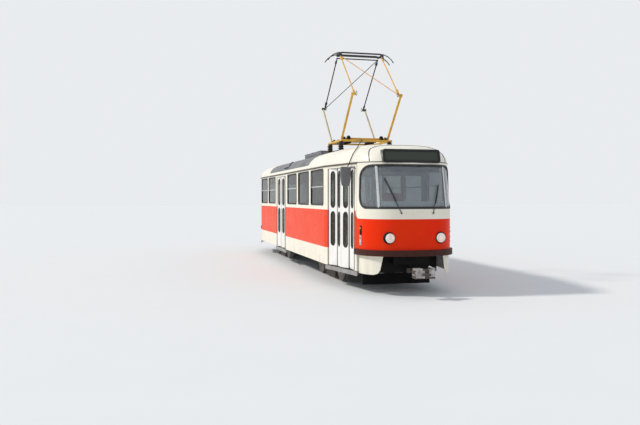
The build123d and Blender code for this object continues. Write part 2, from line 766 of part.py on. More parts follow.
def make_frame():
    """One bogie's frame, about the bogie's middle."""
    half = WHEELBASE / 2
    slot = AXLE_R + JOURNAL_PLAY
    frame = block(about(0, BOLSTER_HALF), (-BEAM_Y, BEAM_Y), BOLSTER_Z)
    for side in (-1, 1):
        beam_y = about(side * BEAM_Y, BEAM_W / 2)
        frame += block(about(0, half + BEAM_OVERHANG), beam_y, BEAM_Z)
        for axle in (-1, 1):
            frame += block(about(axle * half, BOX_R), beam_y, (WHEEL_R - BOX_R, BEAM_Z[1]))
    for axle in (-1, 1):
        frame -= block(about(axle * half, slot), (-2 * BEAM_Y, 2 * BEAM_Y), (0, WHEEL_R + slot))
        bar_x = (half + BEAM_OVERHANG - CROSSBAR_T, half + BEAM_OVERHANG)
        frame += block(mirrored(axle, bar_x), (-BEAM_Y, BEAM_Y), (CROSSBAR_Z, BEAM_Z[1]))
    return frame - post(0, 0, 0, KINGPIN_R + KINGPIN_PLAY, UNDER_Z)


def make_motor(axle):
    """A traction motor with its shaft, gearcase and the lug that hangs it from the bolster."""
    y = -axle * MOTOR_Y
    half = WHEELBASE / 2
    start = Plane((axle * MOTOR_X - MOTOR_L / 2, y, MOTOR_Z), z_dir=(1, 0, 0))
    motor = extrude(start * RegularPolygon(MOTOR_R, 8, rotation=22.5), amount=MOTOR_L, dir=(1, 0, 0))
    motor += block(mirrored(axle, (SHAFT_X, half)), about(y, SHAFT_HALF), about(MOTOR_Z, SHAFT_HALF))
    motor += block(about(axle * half, GEAR_R), about(y, GEAR_W / 2), about(WHEEL_R, GEAR_R))
    motor += block(about(axle * MOTOR_X, MOTOR_LUG), about(y, MOTOR_LUG), (MOTOR_Z, BOLSTER_Z[0]))
    return motor - across(axle * half, WHEEL_R, AXLE_R + JOURNAL_PLAY, 2 * BEAM_Y)


def make_brake(side):
    """A track brake's shoe on its two hangers."""
    beam_face = BEAM_Y + BEAM_W / 2
    arm_z = (BEAM_Z[0], BEAM_Z[0] + HANGER_H)
    shoe = block(about(0, BRAKE_L / 2), mirrored(side, BRAKE_Y), BRAKE_Z)
    for x in (-HANGER_X, HANGER_X):
        hanger_y = (BRAKE_Y[0] + HANGER_IN, BRAKE_Y[1] - HANGER_IN)
        shoe += block(about(x, HANGER_HALF), mirrored(side, hanger_y), (BRAKE_Z[1], arm_z[1]))
        shoe += block(about(x, HANGER_HALF), mirrored(side, (beam_face, hanger_y[1])), arm_z)
    return shoe


def make_coupler(end):
    """A drawbar with its flat coupling head and pinned tongue, swinging under the end beam."""
    length, width, height = COUPLER_HEAD
    z = COUPLER_Z
    head_x = (COUPLER_HEAD_X, COUPLER_HEAD_X + length)
    shape = rod((COUPLER_PIN_X, 0, z), (COUPLER_HEAD_X + BAR_R, 0, z), BAR_R)
    shape += post(COUPLER_PIN_X, 0, z - COUPLER_EYE_H / 2, 2 * BAR_R, COUPLER_EYE_H)
    shape += block(head_x, about(0, width / 2), about(z, height / 2))
    shape += block((head_x[1], COUPLER_TIP_X), about(0, TONGUE_W / 2), about(z, TONGUE_T / 2))
    shape -= post(TONGUE_HOLE_X, 0, 0, TONGUE_HOLE_R, 2 * z)
    shape -= post(COUPLER_PIN_X, 0, 0, COUPLER_PIN_R + JOURNAL_PLAY, 2 * z)
    return shape if end > 0 else mirror(shape, about=Plane.YZ)


def panto_x(end, out):
    """The x at a distance from the pantograph's middle, forward or back."""
    return PANTO_X + end * out


def make_panto_base(roof_form):
    """The base frame with its four bearings, and the insulators that stand it on the roof."""
    z, w = PANTO_BASE_Z, PANTO_HALF_W
    rail_z = (z - RAIL_DROP[0], z - RAIL_DROP[1])
    pieces = []
    insulators = []
    for side in (-1, 1):
        pieces.append(block(about(PANTO_X, RAIL_HALF_L), about(side * w, RAIL_HALF_W), rail_z))
        for end in (-1, 1):
            bearing_y = mirrored(side, (w - BEARING_Y[0], w - BEARING_Y[1]))
            bearing_z = (rail_z[0] + 15, z + RAIL_DROP[1])
            pieces.append(block(about(panto_x(end, PANTO_BASE_HALF), BEARING_HALF), bearing_y, bearing_z))
            foot = (panto_x(end, INSULATOR_X), side * w, WALL_TOP_Z)
            insulators.append(tube(foot, (foot[0], foot[1], rail_z[0]), INSULATOR_R) - roof_form)
    for end in (-1, 1):
        pieces.append(block(about(panto_x(end, END_BAR_X), END_BAR_HALF), (-w, w), rail_z))
        bar_z = (rail_z[0], rail_z[0] + CROSS_R)
        pieces.append(block(about(panto_x(end, PANTO_BASE_HALF), BEARING_HALF), (-w, w), bar_z))
    base = total(pieces)
    for end in (-1, 1):
        base -= across(panto_x(end, PANTO_BASE_HALF), z, CROSS_R + 1, 3 * w)
    return base, insulators


def make_panto_arms(end, radius):
    """The lower and the upper arm frame of one half of the diamond."""
    w = PANTO_HALF_W
    base, knee, pin = panto_x(end, PANTO_BASE_HALF), panto_x(end, KNEE_OUT), panto_x(end, HEAD_PIN_OUT)
    reach = w - 30 if end > 0 else w - 70
    lower = [tube((base, 25 - w, PANTO_BASE_Z), (base, w - 25, PANTO_BASE_Z), CROSS_R)]
    upper = [tube((pin, -reach, HEAD_Z), (pin, reach, HEAD_Z), UPPER_R)]
    for side in (-1, 1):
        y = side * (w - 32)
        lower.append(tube((base, y, PANTO_BASE_Z), (knee, y, KNEE_Z), radius))
        lower.append(tube((knee, side * (w - 60), KNEE_Z), (knee, side * (w - 4), KNEE_Z), KNEE_LOWER_R))
        upper.append(tube((knee, side * (w - 81), KNEE_Z), (pin, side * (w - 85), HEAD_Z), UPPER_R))
        upper.append(rod((knee, side * (w - 66), KNEE_Z), (knee, side * (w - 96), KNEE_Z), KNEE_UPPER_R))
    upper.append(tube((knee, end * (w - 81), KNEE_Z), (pin, -end * (w - 90), HEAD_Z), BRACE_R))
    return total(lower), total(upper)


def horn_point(step):
    """How far out and how high a horn's chord ends, on an arc that runs down off the strip's end."""
    angle = radians(HORN_TURN) * step / HORN_CHORDS
    y = STRIP_FLAT / 2 - HORN_R + HORN_BEND_R * sin(angle)
    return y, STRIP_TOP_Z - STRIP_T / 2 - HORN_BEND_R * (1 - cos(angle))


def make_panto_head():
    """Two contact strips with their horns, held by side plates that hang on the front arms' pin."""
    pieces = []
    pin = panto_x(1, HEAD_PIN_OUT)
    for end in (-1, 1):
        x = panto_x(end, STRIP_GAP / 2)
        strip_z = (STRIP_TOP_Z - STRIP_T, STRIP_TOP_Z)
        pieces.append(block(about(x, STRIP_W / 2), about(0, STRIP_FLAT / 2), strip_z))
        for side in (-1, 1):
            places = [(x, side * y, z) for y, z in map(horn_point, range(HORN_CHORDS + 1))]
            pieces += [tube(*pair, HORN_R) for pair in zip(places, places[1:])]
    for side in (-1, 1):
        y = mirrored(side, (PANTO_HALF_W - HEAD_PLATE_Y[0], PANTO_HALF_W - HEAD_PLATE_Y[1]))
        bar_x = (panto_x(-1, STRIP_GAP / 2), pin + HEAD_PLATE_HALF)
        pieces.append(block(bar_x, y, (STRIP_TOP_Z - 45, STRIP_TOP_Z - 15)))
        pieces.append(block(about(pin, HEAD_PLATE_HALF), y, (HEAD_Z - 28, STRIP_TOP_Z - 15)))
    return total(pieces) - across(pin, HEAD_Z, UPPER_R + 1, 3 * PANTO_HALF_W)


def make_seats():
    """Single seats along both walls, each a bent shell on a pedestal."""
    stand = block(about(0, SEAT_STAND), about(0, SEAT_STAND), (0, SEAT_STAND_H))
    seat = side_view(SEAT_PROFILE, SEAT_HALF_W) + stand
    places = [(x, -SEAT_Y) for x in SEATS_RIGHT] + [(x, SEAT_Y) for x in SEATS_LEFT]
    return [Pos(x, y, FLOOR_Z) * seat for x, y in places]


def make_cab():
    """The driver's desk, seat, and the bulkhead behind with its glazed top."""
    inside = outline(WALL + DESK_INSET)
    desk = prism(inside, *DESK_Z) & block(DESK_X, about(0, DESK_HALF), DESK_Z)
    foot_z = (FLOOR_Z, DESK_Z[0])
    desk += prism(inside, *foot_z) & block(DESK_FOOT_X, about(0, DESK_FOOT_HALF), foot_z)
    back_x, cushion_x, front_x = DRIVER_X
    low, cushion_z, top = DRIVER_Z
    seat = block((cushion_x, front_x), about(0, DRIVER_HALF), (low, cushion_z))
    seat += block((back_x, cushion_x), about(0, DRIVER_HALF), (low, top))
    post_low, post_high, post_half = DRIVER_POST
    seat += block((post_low, post_high), about(0, post_half), (FLOOR_Z, low))
    wall = block(BULKHEAD_X, BULKHEAD_Y, (FLOOR_Z, BULKHEAD_TOP_Z))
    right, left, sill, head = BULKHEAD_LIGHT
    wall -= block(BULKHEAD_X, (right, left), (sill, head))
    return desk, seat, wall


def make_poles():
    """Floor-to-ceiling grab poles on both sides of the aisle."""
    ceiling = roof_solid(ROOF_T) + prism(faceted(4 * WALL), FLOOR_Z, WALL_TOP_Z + GUTTER)
    return [tube((x, y, FLOOR_Z), (x, y, ROOF_TOP_Z), POLE_R) & ceiling for x, y in POLES]


def make_lamps():
    """Two headlamps on the face and the lamp clusters of the rear."""
    heads = []
    tails = []
    lamp_y, lamp_z, lamp_r = HEADLAMP
    for side in (-1, 1):
        x, y = face_x(lamp_y), side * lamp_y
        heads.append(rod((x - HEADLAMP_DEPTH[0], y, lamp_z), (x + HEADLAMP_DEPTH[1], y, lamp_z), lamp_r))
        x, y = face_x(TAIL_LAMP_Y, -1), side * TAIL_LAMP_Y
        for z in TAIL_LAMPS_Z:
            tails.append(rod((x + TAIL_LAMP_DEPTH[0], y, z), (x - TAIL_LAMP_DEPTH[1], y, z), TAIL_LAMP_R))
    return heads, tails


def make_mirror():
    """The boxed mirror on its arm beside the front doorway."""
    x, y, z = MIRROR_AT
    face = Plane.YZ * make_face(Polyline(*MIRROR_OUTLINE, close=True))
    housing = extrude(face, amount=MIRROR_T / 2, both=True)
    wall_y = on_side(MIRROR_ARM_X).origin.Y + SKIN_T
    arm = tube((MIRROR_ARM_X, wall_y, MIRROR_ARM_Z), (x, y, MIRROR_ARM_Z), MIRROR_ARM_R)
    return Pos(x, y, z) * housing + arm


def screen_x(y, z):
    """The x of the front screen's leaning skin."""
    return face_x(y) - SCREEN_LEAN * max(0, z - LEAN_Z) / (WALL_TOP_Z - LEAN_Z)


def make_wipers():
    """Two wipers parked outward over the screen."""
    made = []
    for y, tip_y, tip_z in WIPERS:
        x = screen_x(y, WIPER_PIVOT_Z)
        reach = (-WIPER_PROUD, WIPER_PROUD, WIPER_PROUD + WIPER_R)
        inner, start, outer = [(x + out, y, WIPER_PIVOT_Z) for out in reach]
        tip = (screen_x(tip_y, tip_z) + WIPER_PROUD, tip_y, tip_z)
        made.append(tube(inner, outer, WIPER_PIVOT_R) + tube(start, tip, WIPER_R))
    return made


def make_housing(roof_form):
    """The resistor housing on the roof behind the pantograph."""
    z = (ROOF_TOP_Z - HOUSING_SINK, ROOF_TOP_Z + HOUSING_RISE)
    return block(HOUSING_X, about(0, HOUSING_HALF), z) - roof_form


def main():
    os.makedirs("parts", exist_ok=True)
    right, left, front, rear, panes = make_walls()
    (front, screen), (rear, rear_screen) = make_ends(front, rear)
    save("side_wall_right", right)
    save("side_wall_left", left)
    head_lamps, tail_lamps = make_lamps()
    save("front_end", front - head_lamps)
    save("rear_end", rear - tail_lamps)
    save("windscreen", screen)
    save("rear_screen", rear_screen)
    save("side_glass", *panes)
    roof, roof_form = make_roof()
    save("roof", roof)
    save("destination_sign", make_sign())
    save("bumpers", *make_bumper())
    save("aprons", *make_aprons())
    save("underframe", make_underframe())
    save("floor_equipment", *make_floor_equipment())
    save("front_guard", make_guard())
    save("door_steps", *make_steps())
    for name, shapes in make_doors().items():
        save(name, *shapes)
    number = 1
    for end, place in ((1, "front"), (-1, "rear")):
        at = Pos(end * PIVOT_X, 0, 0)
        save(f"bogie_frame_{place}", at * make_frame())
        save(f"traction_motors_{place}", *[at * make_motor(axle) for axle in (-1, 1)])
        save(f"track_brakes_{place}", *[at * make_brake(side) for side in (-1, 1)])
        save(f"coupler_{place}", make_coupler(end))
        for axle in (1, -1):
            save(f"wheelset_{number}", make_wheelset(end * PIVOT_X + axle * WHEELBASE / 2))
            number += 1
    base, insulators = make_panto_base(roof_form)
    save("pantograph_base", base)
    save("pantograph_insulators", *insulators)
    for end, radius, place in ((1, LOWER_FRONT_R, "front"), (-1, LOWER_REAR_R, "rear")):
        lower, upper = make_panto_arms(end, radius)
        save(f"pantograph_lower_{place}", lower)
        save(f"pantograph_upper_{place}", upper)
    save("collector_head", make_panto_head())
    save("passenger_seats", *make_seats())
    desk, seat, bulkhead = make_cab()
    save("driver_desk", desk)
    save("driver_seat", seat)
    save("cab_bulkhead", bulkhead)
    save("grab_poles", *make_poles())
    save("headlamps", *head_lamps)
    save("tail_lamps", *tail_lamps)
    save("wing_mirror", make_mirror() - right)
    save("wipers", *[wiper - front for wiper in make_wipers()])
    save("roof_equipment", make_housing(roof_form))


if __name__ == "__main__":
    main()
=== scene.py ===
"""Looks of the street tram: materials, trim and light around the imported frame."""

import json
import math
from collections import defaultdict
from itertools import product

import bmesh
import bpy
from mathutils import Matrix, Vector


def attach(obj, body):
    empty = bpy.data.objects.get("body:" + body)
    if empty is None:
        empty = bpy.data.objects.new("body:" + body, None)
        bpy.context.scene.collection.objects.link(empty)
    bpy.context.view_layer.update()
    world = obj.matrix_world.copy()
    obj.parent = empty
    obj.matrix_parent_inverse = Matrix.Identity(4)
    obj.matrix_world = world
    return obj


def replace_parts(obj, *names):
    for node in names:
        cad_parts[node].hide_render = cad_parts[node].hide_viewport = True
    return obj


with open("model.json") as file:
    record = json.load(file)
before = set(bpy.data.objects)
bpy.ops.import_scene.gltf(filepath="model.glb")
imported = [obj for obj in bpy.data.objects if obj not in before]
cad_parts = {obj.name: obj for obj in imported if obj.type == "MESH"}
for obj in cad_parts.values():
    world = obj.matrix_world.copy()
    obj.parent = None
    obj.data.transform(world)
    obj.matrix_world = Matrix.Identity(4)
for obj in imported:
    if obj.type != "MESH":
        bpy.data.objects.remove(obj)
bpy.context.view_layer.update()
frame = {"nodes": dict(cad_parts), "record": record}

# Body plan in metres, with heights above the rail head, which lies LIFT over the flanges.
# The front end is 1 and the rear end -1; the left side is 1 and the right side -1.
LIFT = 0.022
HALF_WIDTH = 1.25
TAPER_X = {1: 4.40, -1: 4.90}
TAPER = {1: math.radians(8.2), -1: math.radians(9.6)}
TIP_X = 6.95
CORNER_R = 0.70
FACE_TURN = math.radians(12.5)
LEAN_Z = 1.72
WALL_TOP_Z = 2.66
LEAN = {1: 0.23, -1: 0.12}
SKIN_T = 0.014

# Roof contours. Columns: height, half width, front tip, rear tip, corner radius
ROOF_ROWS = [
    (2.660, 1.250, 6.720, 6.830, 0.700),
    (2.760, 1.235, 6.700, 6.800, 0.700),
    (2.860, 1.185, 6.640, 6.760, 0.700),
    (2.950, 1.095, 6.520, 6.660, 0.660),
    (3.020, 0.960, 6.300, 6.500, 0.580),
    (3.075, 0.770, 5.900, 6.200, 0.440),
    (3.120, 0.550, 5.300, 5.750, 0.280),
    (3.160, 0.290, 4.700, 5.200, 0.060),
]

# Windows and doors
WINDOW_HALF = 0.645
WINDOW_Z = (1.782, 2.610)
WINDOW_R = 0.055
BAR_Z = 2.21
DOOR_HALF = 0.70
DOOR_Z = (0.432, 2.606)
SCREEN_Z = (1.745, 2.600)
SCREEN_R = 0.24
SCREEN_REAR_X = {1: 6.28, -1: 6.61}
POST_Y = 0.72
POST_TOP_Z = {1: 2.600, -1: 2.550}

# One row for each window: x, side, has a hopper bar
WINDOWS = [(3.675 - 1.52 * i, side, not (i == 1 and side < 0)) for i in range(3) for side in (-1, 1)]
WINDOWS += [(-2.65 - 1.52 * i, side, True) for i in range(2) for side in (-1, 1)]
WINDOWS += [(-1.005, 1, True), (5.33, 1, True), (-5.70, 1, True)]
DOORS = {"front": 5.33, "middle": -1.04, "rear": -5.70}

MATERIALS = {}
SOCKETS = {
    "Color": "Base Color", "Coat": "Coat Weight", "Coat rough": "Coat Roughness", "Ior": "IOR",
    "Transmission": "Transmission Weight", "Emission": "Emission Color", "Glow": "Emission Strength",
    "Specular": "Specular IOR Level",
}


class Nodes:
    """The shader nodes of one tree."""

    def __init__(self, tree):
        self.tree = tree

    def add(self, kind, inputs=None, **settings):
        node = self.tree.nodes.new("ShaderNode" + kind)
        for key, value in settings.items():
            setattr(node, key, value)
        for key, value in (inputs or {}).items():
            self.feed(node.inputs[key], value)
        return node

    def feed(self, socket, value):
        if isinstance(value, bpy.types.NodeSocket):
            self.tree.links.new(value, socket)
        elif hasattr(value, "__len__") and len(value) == 3 and len(socket.default_value) == 4:
            socket.default_value = (*value, 1)
        else:
            socket.default_value = value

    def math(self, operation, a, b=0.0):
        return self.add("Math", {0: a, 1: b}, operation=operation).outputs[0]


class Surface(Nodes):
    """A node material around one Principled shader."""

    def __init__(self, name, **values):
        self.material = MATERIALS[name] = bpy.data.materials.new(name)
        self.material.use_nodes = True
        super().__init__(self.material.node_tree)
        self.shader = self.tree.nodes["Principled BSDF"]
        self.place = self.add("TexCoord").outputs["Object"]
        for key, value in values.items():
            self.set(key.replace("_", " ").capitalize(), value)

    def set(self, name, value):
        self.feed(self.shader.inputs[SOCKETS.get(name, name)], value)

    def axis(self, letter):
        return self.add("SeparateXYZ", {0: self.place}).outputs[letter]

    def height(self):
        return self.math("SUBTRACT", self.axis("Z"), LIFT)

    def past(self, value, edge):
        """How far a value lies past an edge, or 0 before it."""
        return self.math("MAXIMUM", self.math("SUBTRACT", value, edge), 0.0)

    def length(self, a, b):
        squares = self.math("ADD", self.math("POWER", a, 2.0), self.math("POWER", b, 2.0))
        return self.math("SQRT", squares)

    def noise(self, scale, detail=3.0, stretch=(1, 1, 1)):
        spread = self.add("Mapping", {"Vector": self.place, "Scale": stretch}).outputs[0]
        inputs = {"Vector": spread, "Scale": scale, "Detail": detail, "Roughness": 0.6}
        return self.add("TexNoise", inputs).outputs["Fac"]

    def waves(self, scale, axis):
        inputs = {"Vector": self.place, "Scale": scale, "Distortion": 0.0}
        return self.add("TexWave", inputs, bands_direction=axis).outputs["Fac"]

    def fade(self, value, low, high, out=(0.0, 1.0)):
        inputs = {"Value": value, "From Min": low, "From Max": high, "To Min": out[0], "To Max": out[1]}
        return self.add("MapRange", inputs).outputs[0]

    def mix(self, share, a, b):
        return self.add("Mix", {0: share, 6: a, 7: b}, data_type="RGBA").outputs[2]

    def bump(self, height, strength=0.2, distance=0.002):
        inputs = {"Height": height, "Strength": strength, "Distance": distance}
        self.feed(self.shader.inputs["Normal"], self.add("Bump", inputs).outputs[0])

    def roughen(self, scale, rough):
        """Lets the roughness wander between two values."""
        self.set("Roughness", self.fade(self.noise(scale), 0.3, 0.7, rough))

    def worn(self, color, dark, amount, rough, scale=6.0, bump=0.08):
        """A colour that a broad noise darkens unevenly, with roughness to match and a fine grain."""
        broad = self.fade(self.noise(scale), 0.35, 0.75)
        self.set("Color", self.mix(self.math("MULTIPLY", broad, amount), color, dark))
        self.roughen(scale * 2, rough)
        self.bump(self.noise(scale * 30, 2.0), bump)


CREAM = (0.86, 0.815, 0.69)
RED = (0.83, 0.028, 0.004)
# A more orange red: real fading in random patches, and painted sunlight on the sides of the band
RED_FADED_AND_SUNLIT = (0.82, 0.052, 0.004)
CREAM_DULL = (0.82, 0.77, 0.64)
DIRT = (0.20, 0.165, 0.13)
BAND_Z = (0.82, 1.68)
FACE_BAND_Z = 1.52
FACE_BAND_X = 6.10
FACE_BAND_R = 0.14


def make_body_paint():
    """Cream paint, the red band with its step down at the cab, painted sunlit red on the sides, and road dirt
    towards the skirt.
    """
    paint = Surface("body_paint", ior=1.32, specular=0.12)
    x, z = paint.axis("X"), paint.height()
    over = paint.math("GREATER_THAN", z, BAND_Z[1])
    under = paint.math("LESS_THAN", z, BAND_Z[0])
    ahead = paint.past(FACE_BAND_X + FACE_BAND_R, x)
    above = paint.past(FACE_BAND_Z + FACE_BAND_R, z)
    step = paint.math("LESS_THAN", paint.length(ahead, above), FACE_BAND_R)
    cab = paint.math("GREATER_THAN", x, FACE_BAND_X - 0.05)
    front_cream = paint.math("MULTIPLY", cab, step)
    cream = paint.math("MAXIMUM", paint.math("MAXIMUM", over, under), front_cream)
    cloud = paint.fade(paint.noise(1.4, 4.0), 0.35, 0.7)
    # Painted light: the sides, from |y| 0.85 outward, turn to the more orange red of sunlit paint, which the
    # front does not get
    painted_sunlit_sides = paint.fade(paint.math("ABSOLUTE", paint.axis("Y")), 0.85, 1.15)
    fade_and_sunlit_share = paint.math("MAXIMUM", paint.math("MULTIPLY", cloud, 0.4), painted_sunlit_sides)
    faded_and_sunlit = paint.mix(cream, paint.mix(fade_and_sunlit_share, RED, RED_FADED_AND_SUNLIT), paint.mix(cloud, CREAM, CREAM_DULL))
    streaks = paint.fade(paint.noise(9.0, 5.0, (1, 1, 0.12)), 0.45, 0.85)
    low = paint.fade(z, 1.05, 0.40, (0.0, 0.28))
    dirt = paint.math("MULTIPLY", streaks, paint.math("ADD", low, 0.03))
    paint.set("Color", paint.mix(dirt, faded_and_sunlit, DIRT))
    paint.roughen(3.0, (0.26, 0.38))
    paint.bump(paint.noise(1.6, 1.0), 0.05, 0.006)


ROOF_GREY = (0.20, 0.205, 0.215)
GREY_X = (-3.25, 2.80)
GREY_HALF = 1.233
GREY_R = 0.16
SOOT = (0.48, 0.45, 0.40)
GUTTER_Z = (2.658, 2.684)
GUTTER_GREY = (0.16, 0.15, 0.14)


def make_roof_paint():
    """Cream domes with a grey walkway coat over the middle, whose corners are round, and the dark gutter."""
    paint = Surface("roof_paint")
    middle, half = (GREY_X[0] + GREY_X[1]) / 2, (GREY_X[1] - GREY_X[0]) / 2
    x = paint.math("ABSOLUTE", paint.math("SUBTRACT", paint.axis("X"), middle))
    y = paint.math("ABSOLUTE", paint.axis("Y"))
    corner = paint.length(paint.past(x, half - GREY_R), paint.past(y, GREY_HALF - GREY_R))
    grey = paint.math("LESS_THAN", corner, GREY_R)
    cloud = paint.fade(paint.noise(2.0, 5.0), 0.35, 0.7)
    coat = paint.mix(cloud, ROOF_GREY, tuple(c * 0.7 for c in ROOF_GREY))
    dome = paint.mix(paint.fade(paint.noise(1.1, 6.0), 0.4, 0.8, (0.0, 0.30)), CREAM, SOOT)
    z = paint.height()
    over, under = paint.math("GREATER_THAN", z, GUTTER_Z[0]), paint.math("LESS_THAN", z, GUTTER_Z[1])
    gutter = paint.math("MULTIPLY", over, under)
    paint.set("Color", paint.mix(gutter, paint.mix(grey, dome, coat), GUTTER_GREY))
    paint.set("Roughness", paint.fade(grey, 0.0, 1.0, (0.35, 0.75)))
    paint.bump(paint.math("MULTIPLY", paint.noise(160.0, 2.0), grey), 0.25, 0.002)


def make_step_metal():
    """Ribbed aluminium."""
    metal = Surface("step_aluminium", metallic=0.7)
    metal.worn((0.42, 0.42, 0.41), (0.12, 0.11, 0.10), 0.6, (0.4, 0.65), 5.0)
    metal.bump(metal.math("ADD", metal.waves(18.0, "Y"), metal.noise(40.0)), 0.3, 0.003)


def make_sign_glass():
    """The display's dark glass, with the fine unlit matrix behind it."""
    glass = Surface("sign_glass", coat=0.25, coat_rough=0.05, specular=0.25)
    dots = glass.math("MULTIPLY", glass.waves(14.0, "Z"), glass.waves(14.0, "Y"))
    glass.set("Color", glass.mix(dots, (0.024, 0.032, 0.023), (0.050, 0.066, 0.044)))
    glass.roughen(8.0, (0.10, 0.2))


def make_glass(name, tint, clear, ior):
    """Clear glass of one tint."""
    Surface(name, ior=ior, transmission=clear, color=tint).roughen(5.0, (0.015, 0.06))


def make_lens(name, color, glow=0.0):
    """Moulded lamp glass with upright flutes."""
    lens = Surface(name, coat=1.0, coat_rough=0.02, roughness=0.12)
    flutes = lens.waves(14.0, "Y")
    shade = lens.math("MULTIPLY", flutes, lens.fade(lens.noise(14.0), 0.3, 0.6))
    tint = lens.mix(shade, color, tuple(c * 0.5 for c in color))
    lens.set("Color", tint)
    lens.bump(flutes, 0.25, 0.003)
    if glow:
        lens.set("Emission", tint)
        lens.set("Glow", glow)


def simple(name, color, dark, amount, rough, scale=6.0, bump=0.08, **values):
    """A worn finish: its colour, its colour where worn, how much it is worn and its roughness."""
    Surface(name, **values).worn(color, dark, amount, rough, scale, bump)


make_body_paint()
make_roof_paint()
make_step_metal()
make_sign_glass()
make_glass("window_glass", (0.24, 0.25, 0.235), 0.93, 1.15)
make_glass("screen_glass", (0.62, 0.67, 0.71), 0.84, 1.38)
make_glass("door_glass", (0.50, 0.52, 0.46), 0.93, 1.1)
make_lens("lamp_glass", (0.92, 0.78, 0.67), 0.2)
make_lens("tail_lamp_plastic", (0.50, 0.02, 0.015))
make_lens("amber_lens", (0.75, 0.22, 0.02))
simple("bumper_paint", (0.060, 0.016, 0.010), (0.02, 0.012, 0.01), 0.5, (0.45, 0.7), specular=0.2)
simple("door_paint", (0.88, 0.86, 0.81), (0.50, 0.47, 0.41), 0.22, (0.25, 0.4), 3.0)
simple("lining", (0.44, 0.43, 0.39), (0.28, 0.27, 0.25), 0.4, (0.45, 0.6))
simple("floor_covering", (0.07, 0.072, 0.075), (0.14, 0.12, 0.10), 0.6, (0.6, 0.8))
simple("housing_grey", (0.25, 0.25, 0.265), (0.13, 0.13, 0.13), 0.5, (0.5, 0.7))
simple("gutter_brown", (0.11, 0.095, 0.08), (0.05, 0.045, 0.04), 0.5, (0.5, 0.7), specular=0.2)
simple("display_edge", (0.012, 0.013, 0.013), (0.04, 0.04, 0.04), 0.4, (0.35, 0.5), specular=0.25)
# Near-black paint, darker than plain black paint so that the underframe and guard also stand in for painted
# shade under the tram
simple("black_paint", (0.007, 0.007, 0.0075), (0.022, 0.02, 0.018), 0.4, (0.55, 0.8), specular=0.12)
simple("grab_yellow", (0.74, 0.56, 0.03), (0.4, 0.3, 0.03), 0.3, (0.25, 0.4))
simple("pole_chrome", (0.66, 0.50, 0.06), (0.3, 0.2, 0.03), 0.3, (0.2, 0.35))
simple("seat_plastic", (0.46, 0.055, 0.025), (0.2, 0.03, 0.02), 0.4, (0.3, 0.5))
simple("cab_plastic", (0.36, 0.40, 0.38), (0.22, 0.25, 0.24), 0.4, (0.45, 0.65))
simple("dash_pale", (0.68, 0.73, 0.72), (0.50, 0.54, 0.53), 0.4, (0.5, 0.7))
simple("frame_steel", (0.020, 0.019, 0.018), (0.06, 0.045, 0.035), 0.7, (0.6, 0.85), specular=0.25)
simple("motor_iron", (0.045, 0.043, 0.042), (0.08, 0.055, 0.04), 0.7, (0.6, 0.85))
simple("brake_iron", (0.06, 0.055, 0.05), (0.11, 0.07, 0.05), 0.7, (0.5, 0.8))
simple("cast_silver", (0.50, 0.49, 0.47), (0.10, 0.085, 0.07), 0.8, (0.3, 0.6), 14.0, metallic=0.55)
simple("wheel_steel", (0.22, 0.20, 0.185), (0.06, 0.05, 0.045), 0.8, (0.4, 0.7), metallic=0.7)
simple("bright_steel", (0.55, 0.55, 0.54), (0.2, 0.19, 0.18), 0.4, (0.2, 0.45), metallic=0.9)
simple("trim_aluminium", (0.62, 0.63, 0.63), (0.3, 0.3, 0.3), 0.3, (0.25, 0.4), metallic=0.85)
simple("pantograph_yellow", (0.80, 0.44, 0.03), (0.22, 0.13, 0.04), 0.6, (0.35, 0.6))
simple("pantograph_orange", (0.82, 0.36, 0.06), (0.3, 0.15, 0.05), 0.5, (0.4, 0.6))
simple("pantograph_faded", (0.50, 0.36, 0.12), (0.24, 0.23, 0.21), 0.9, (0.4, 0.6), 2.5)
simple("pantograph_dark", (0.030, 0.030, 0.034), (0.09, 0.075, 0.06), 0.5, (0.45, 0.7))
simple("insulator_brown", (0.035, 0.020, 0.016), (0.012, 0.01, 0.01), 0.4, (0.15, 0.3))
simple("mirror_plastic", (0.115, 0.117, 0.12), (0.19, 0.19, 0.19), 0.5, (0.4, 0.6), 9.0)
simple("mirror_glass", (0.85, 0.87, 0.88), (0.8, 0.8, 0.8), 0.1, (0.02, 0.05), bump=0.0, metallic=1.0)
simple("wiper_black", (0.018, 0.018, 0.02), (0.05, 0.05, 0.05), 0.5, (0.4, 0.6))
simple("rubber", (0.012, 0.012, 0.013), (0.035, 0.034, 0.033), 0.5, (0.5, 0.75))

SLOT_OF = {entry["node"]: entry["material_slot"] for entry in frame["record"]["subparts"]}
KNOWN_SLOTS = {entry["slot"] for entry in frame["record"]["materials"]}

# CAD nodes whose finish differs from the slot's own
DRESSED_AS = {
    "windscreen": "screen_glass", "rear_screen": "screen_glass", "roof_equipment": "housing_grey",
    "pantograph_upper_front": "pantograph_yellow", "pantograph_lower_rear": "pantograph_faded",
    # The guard and the underframe take black_paint, whose extra darkness is painted shade under the tram
    "pantograph_insulators": "insulator_brown", "headlamps": "bright_steel", "front_guard": "black_paint",
    "underframe": "black_paint", "tail_lamps": "tail_lamp_plastic",
}


def circle(count):
    """Equal angles round a circle."""
    return [2 * math.pi * i / count for i in range(count)]


def link_object(name, data):
    """An object in the scene for a mesh, lamp or camera."""
    made = bpy.data.objects.new(name, data)
    bpy.context.scene.collection.objects.link(made)
    return made


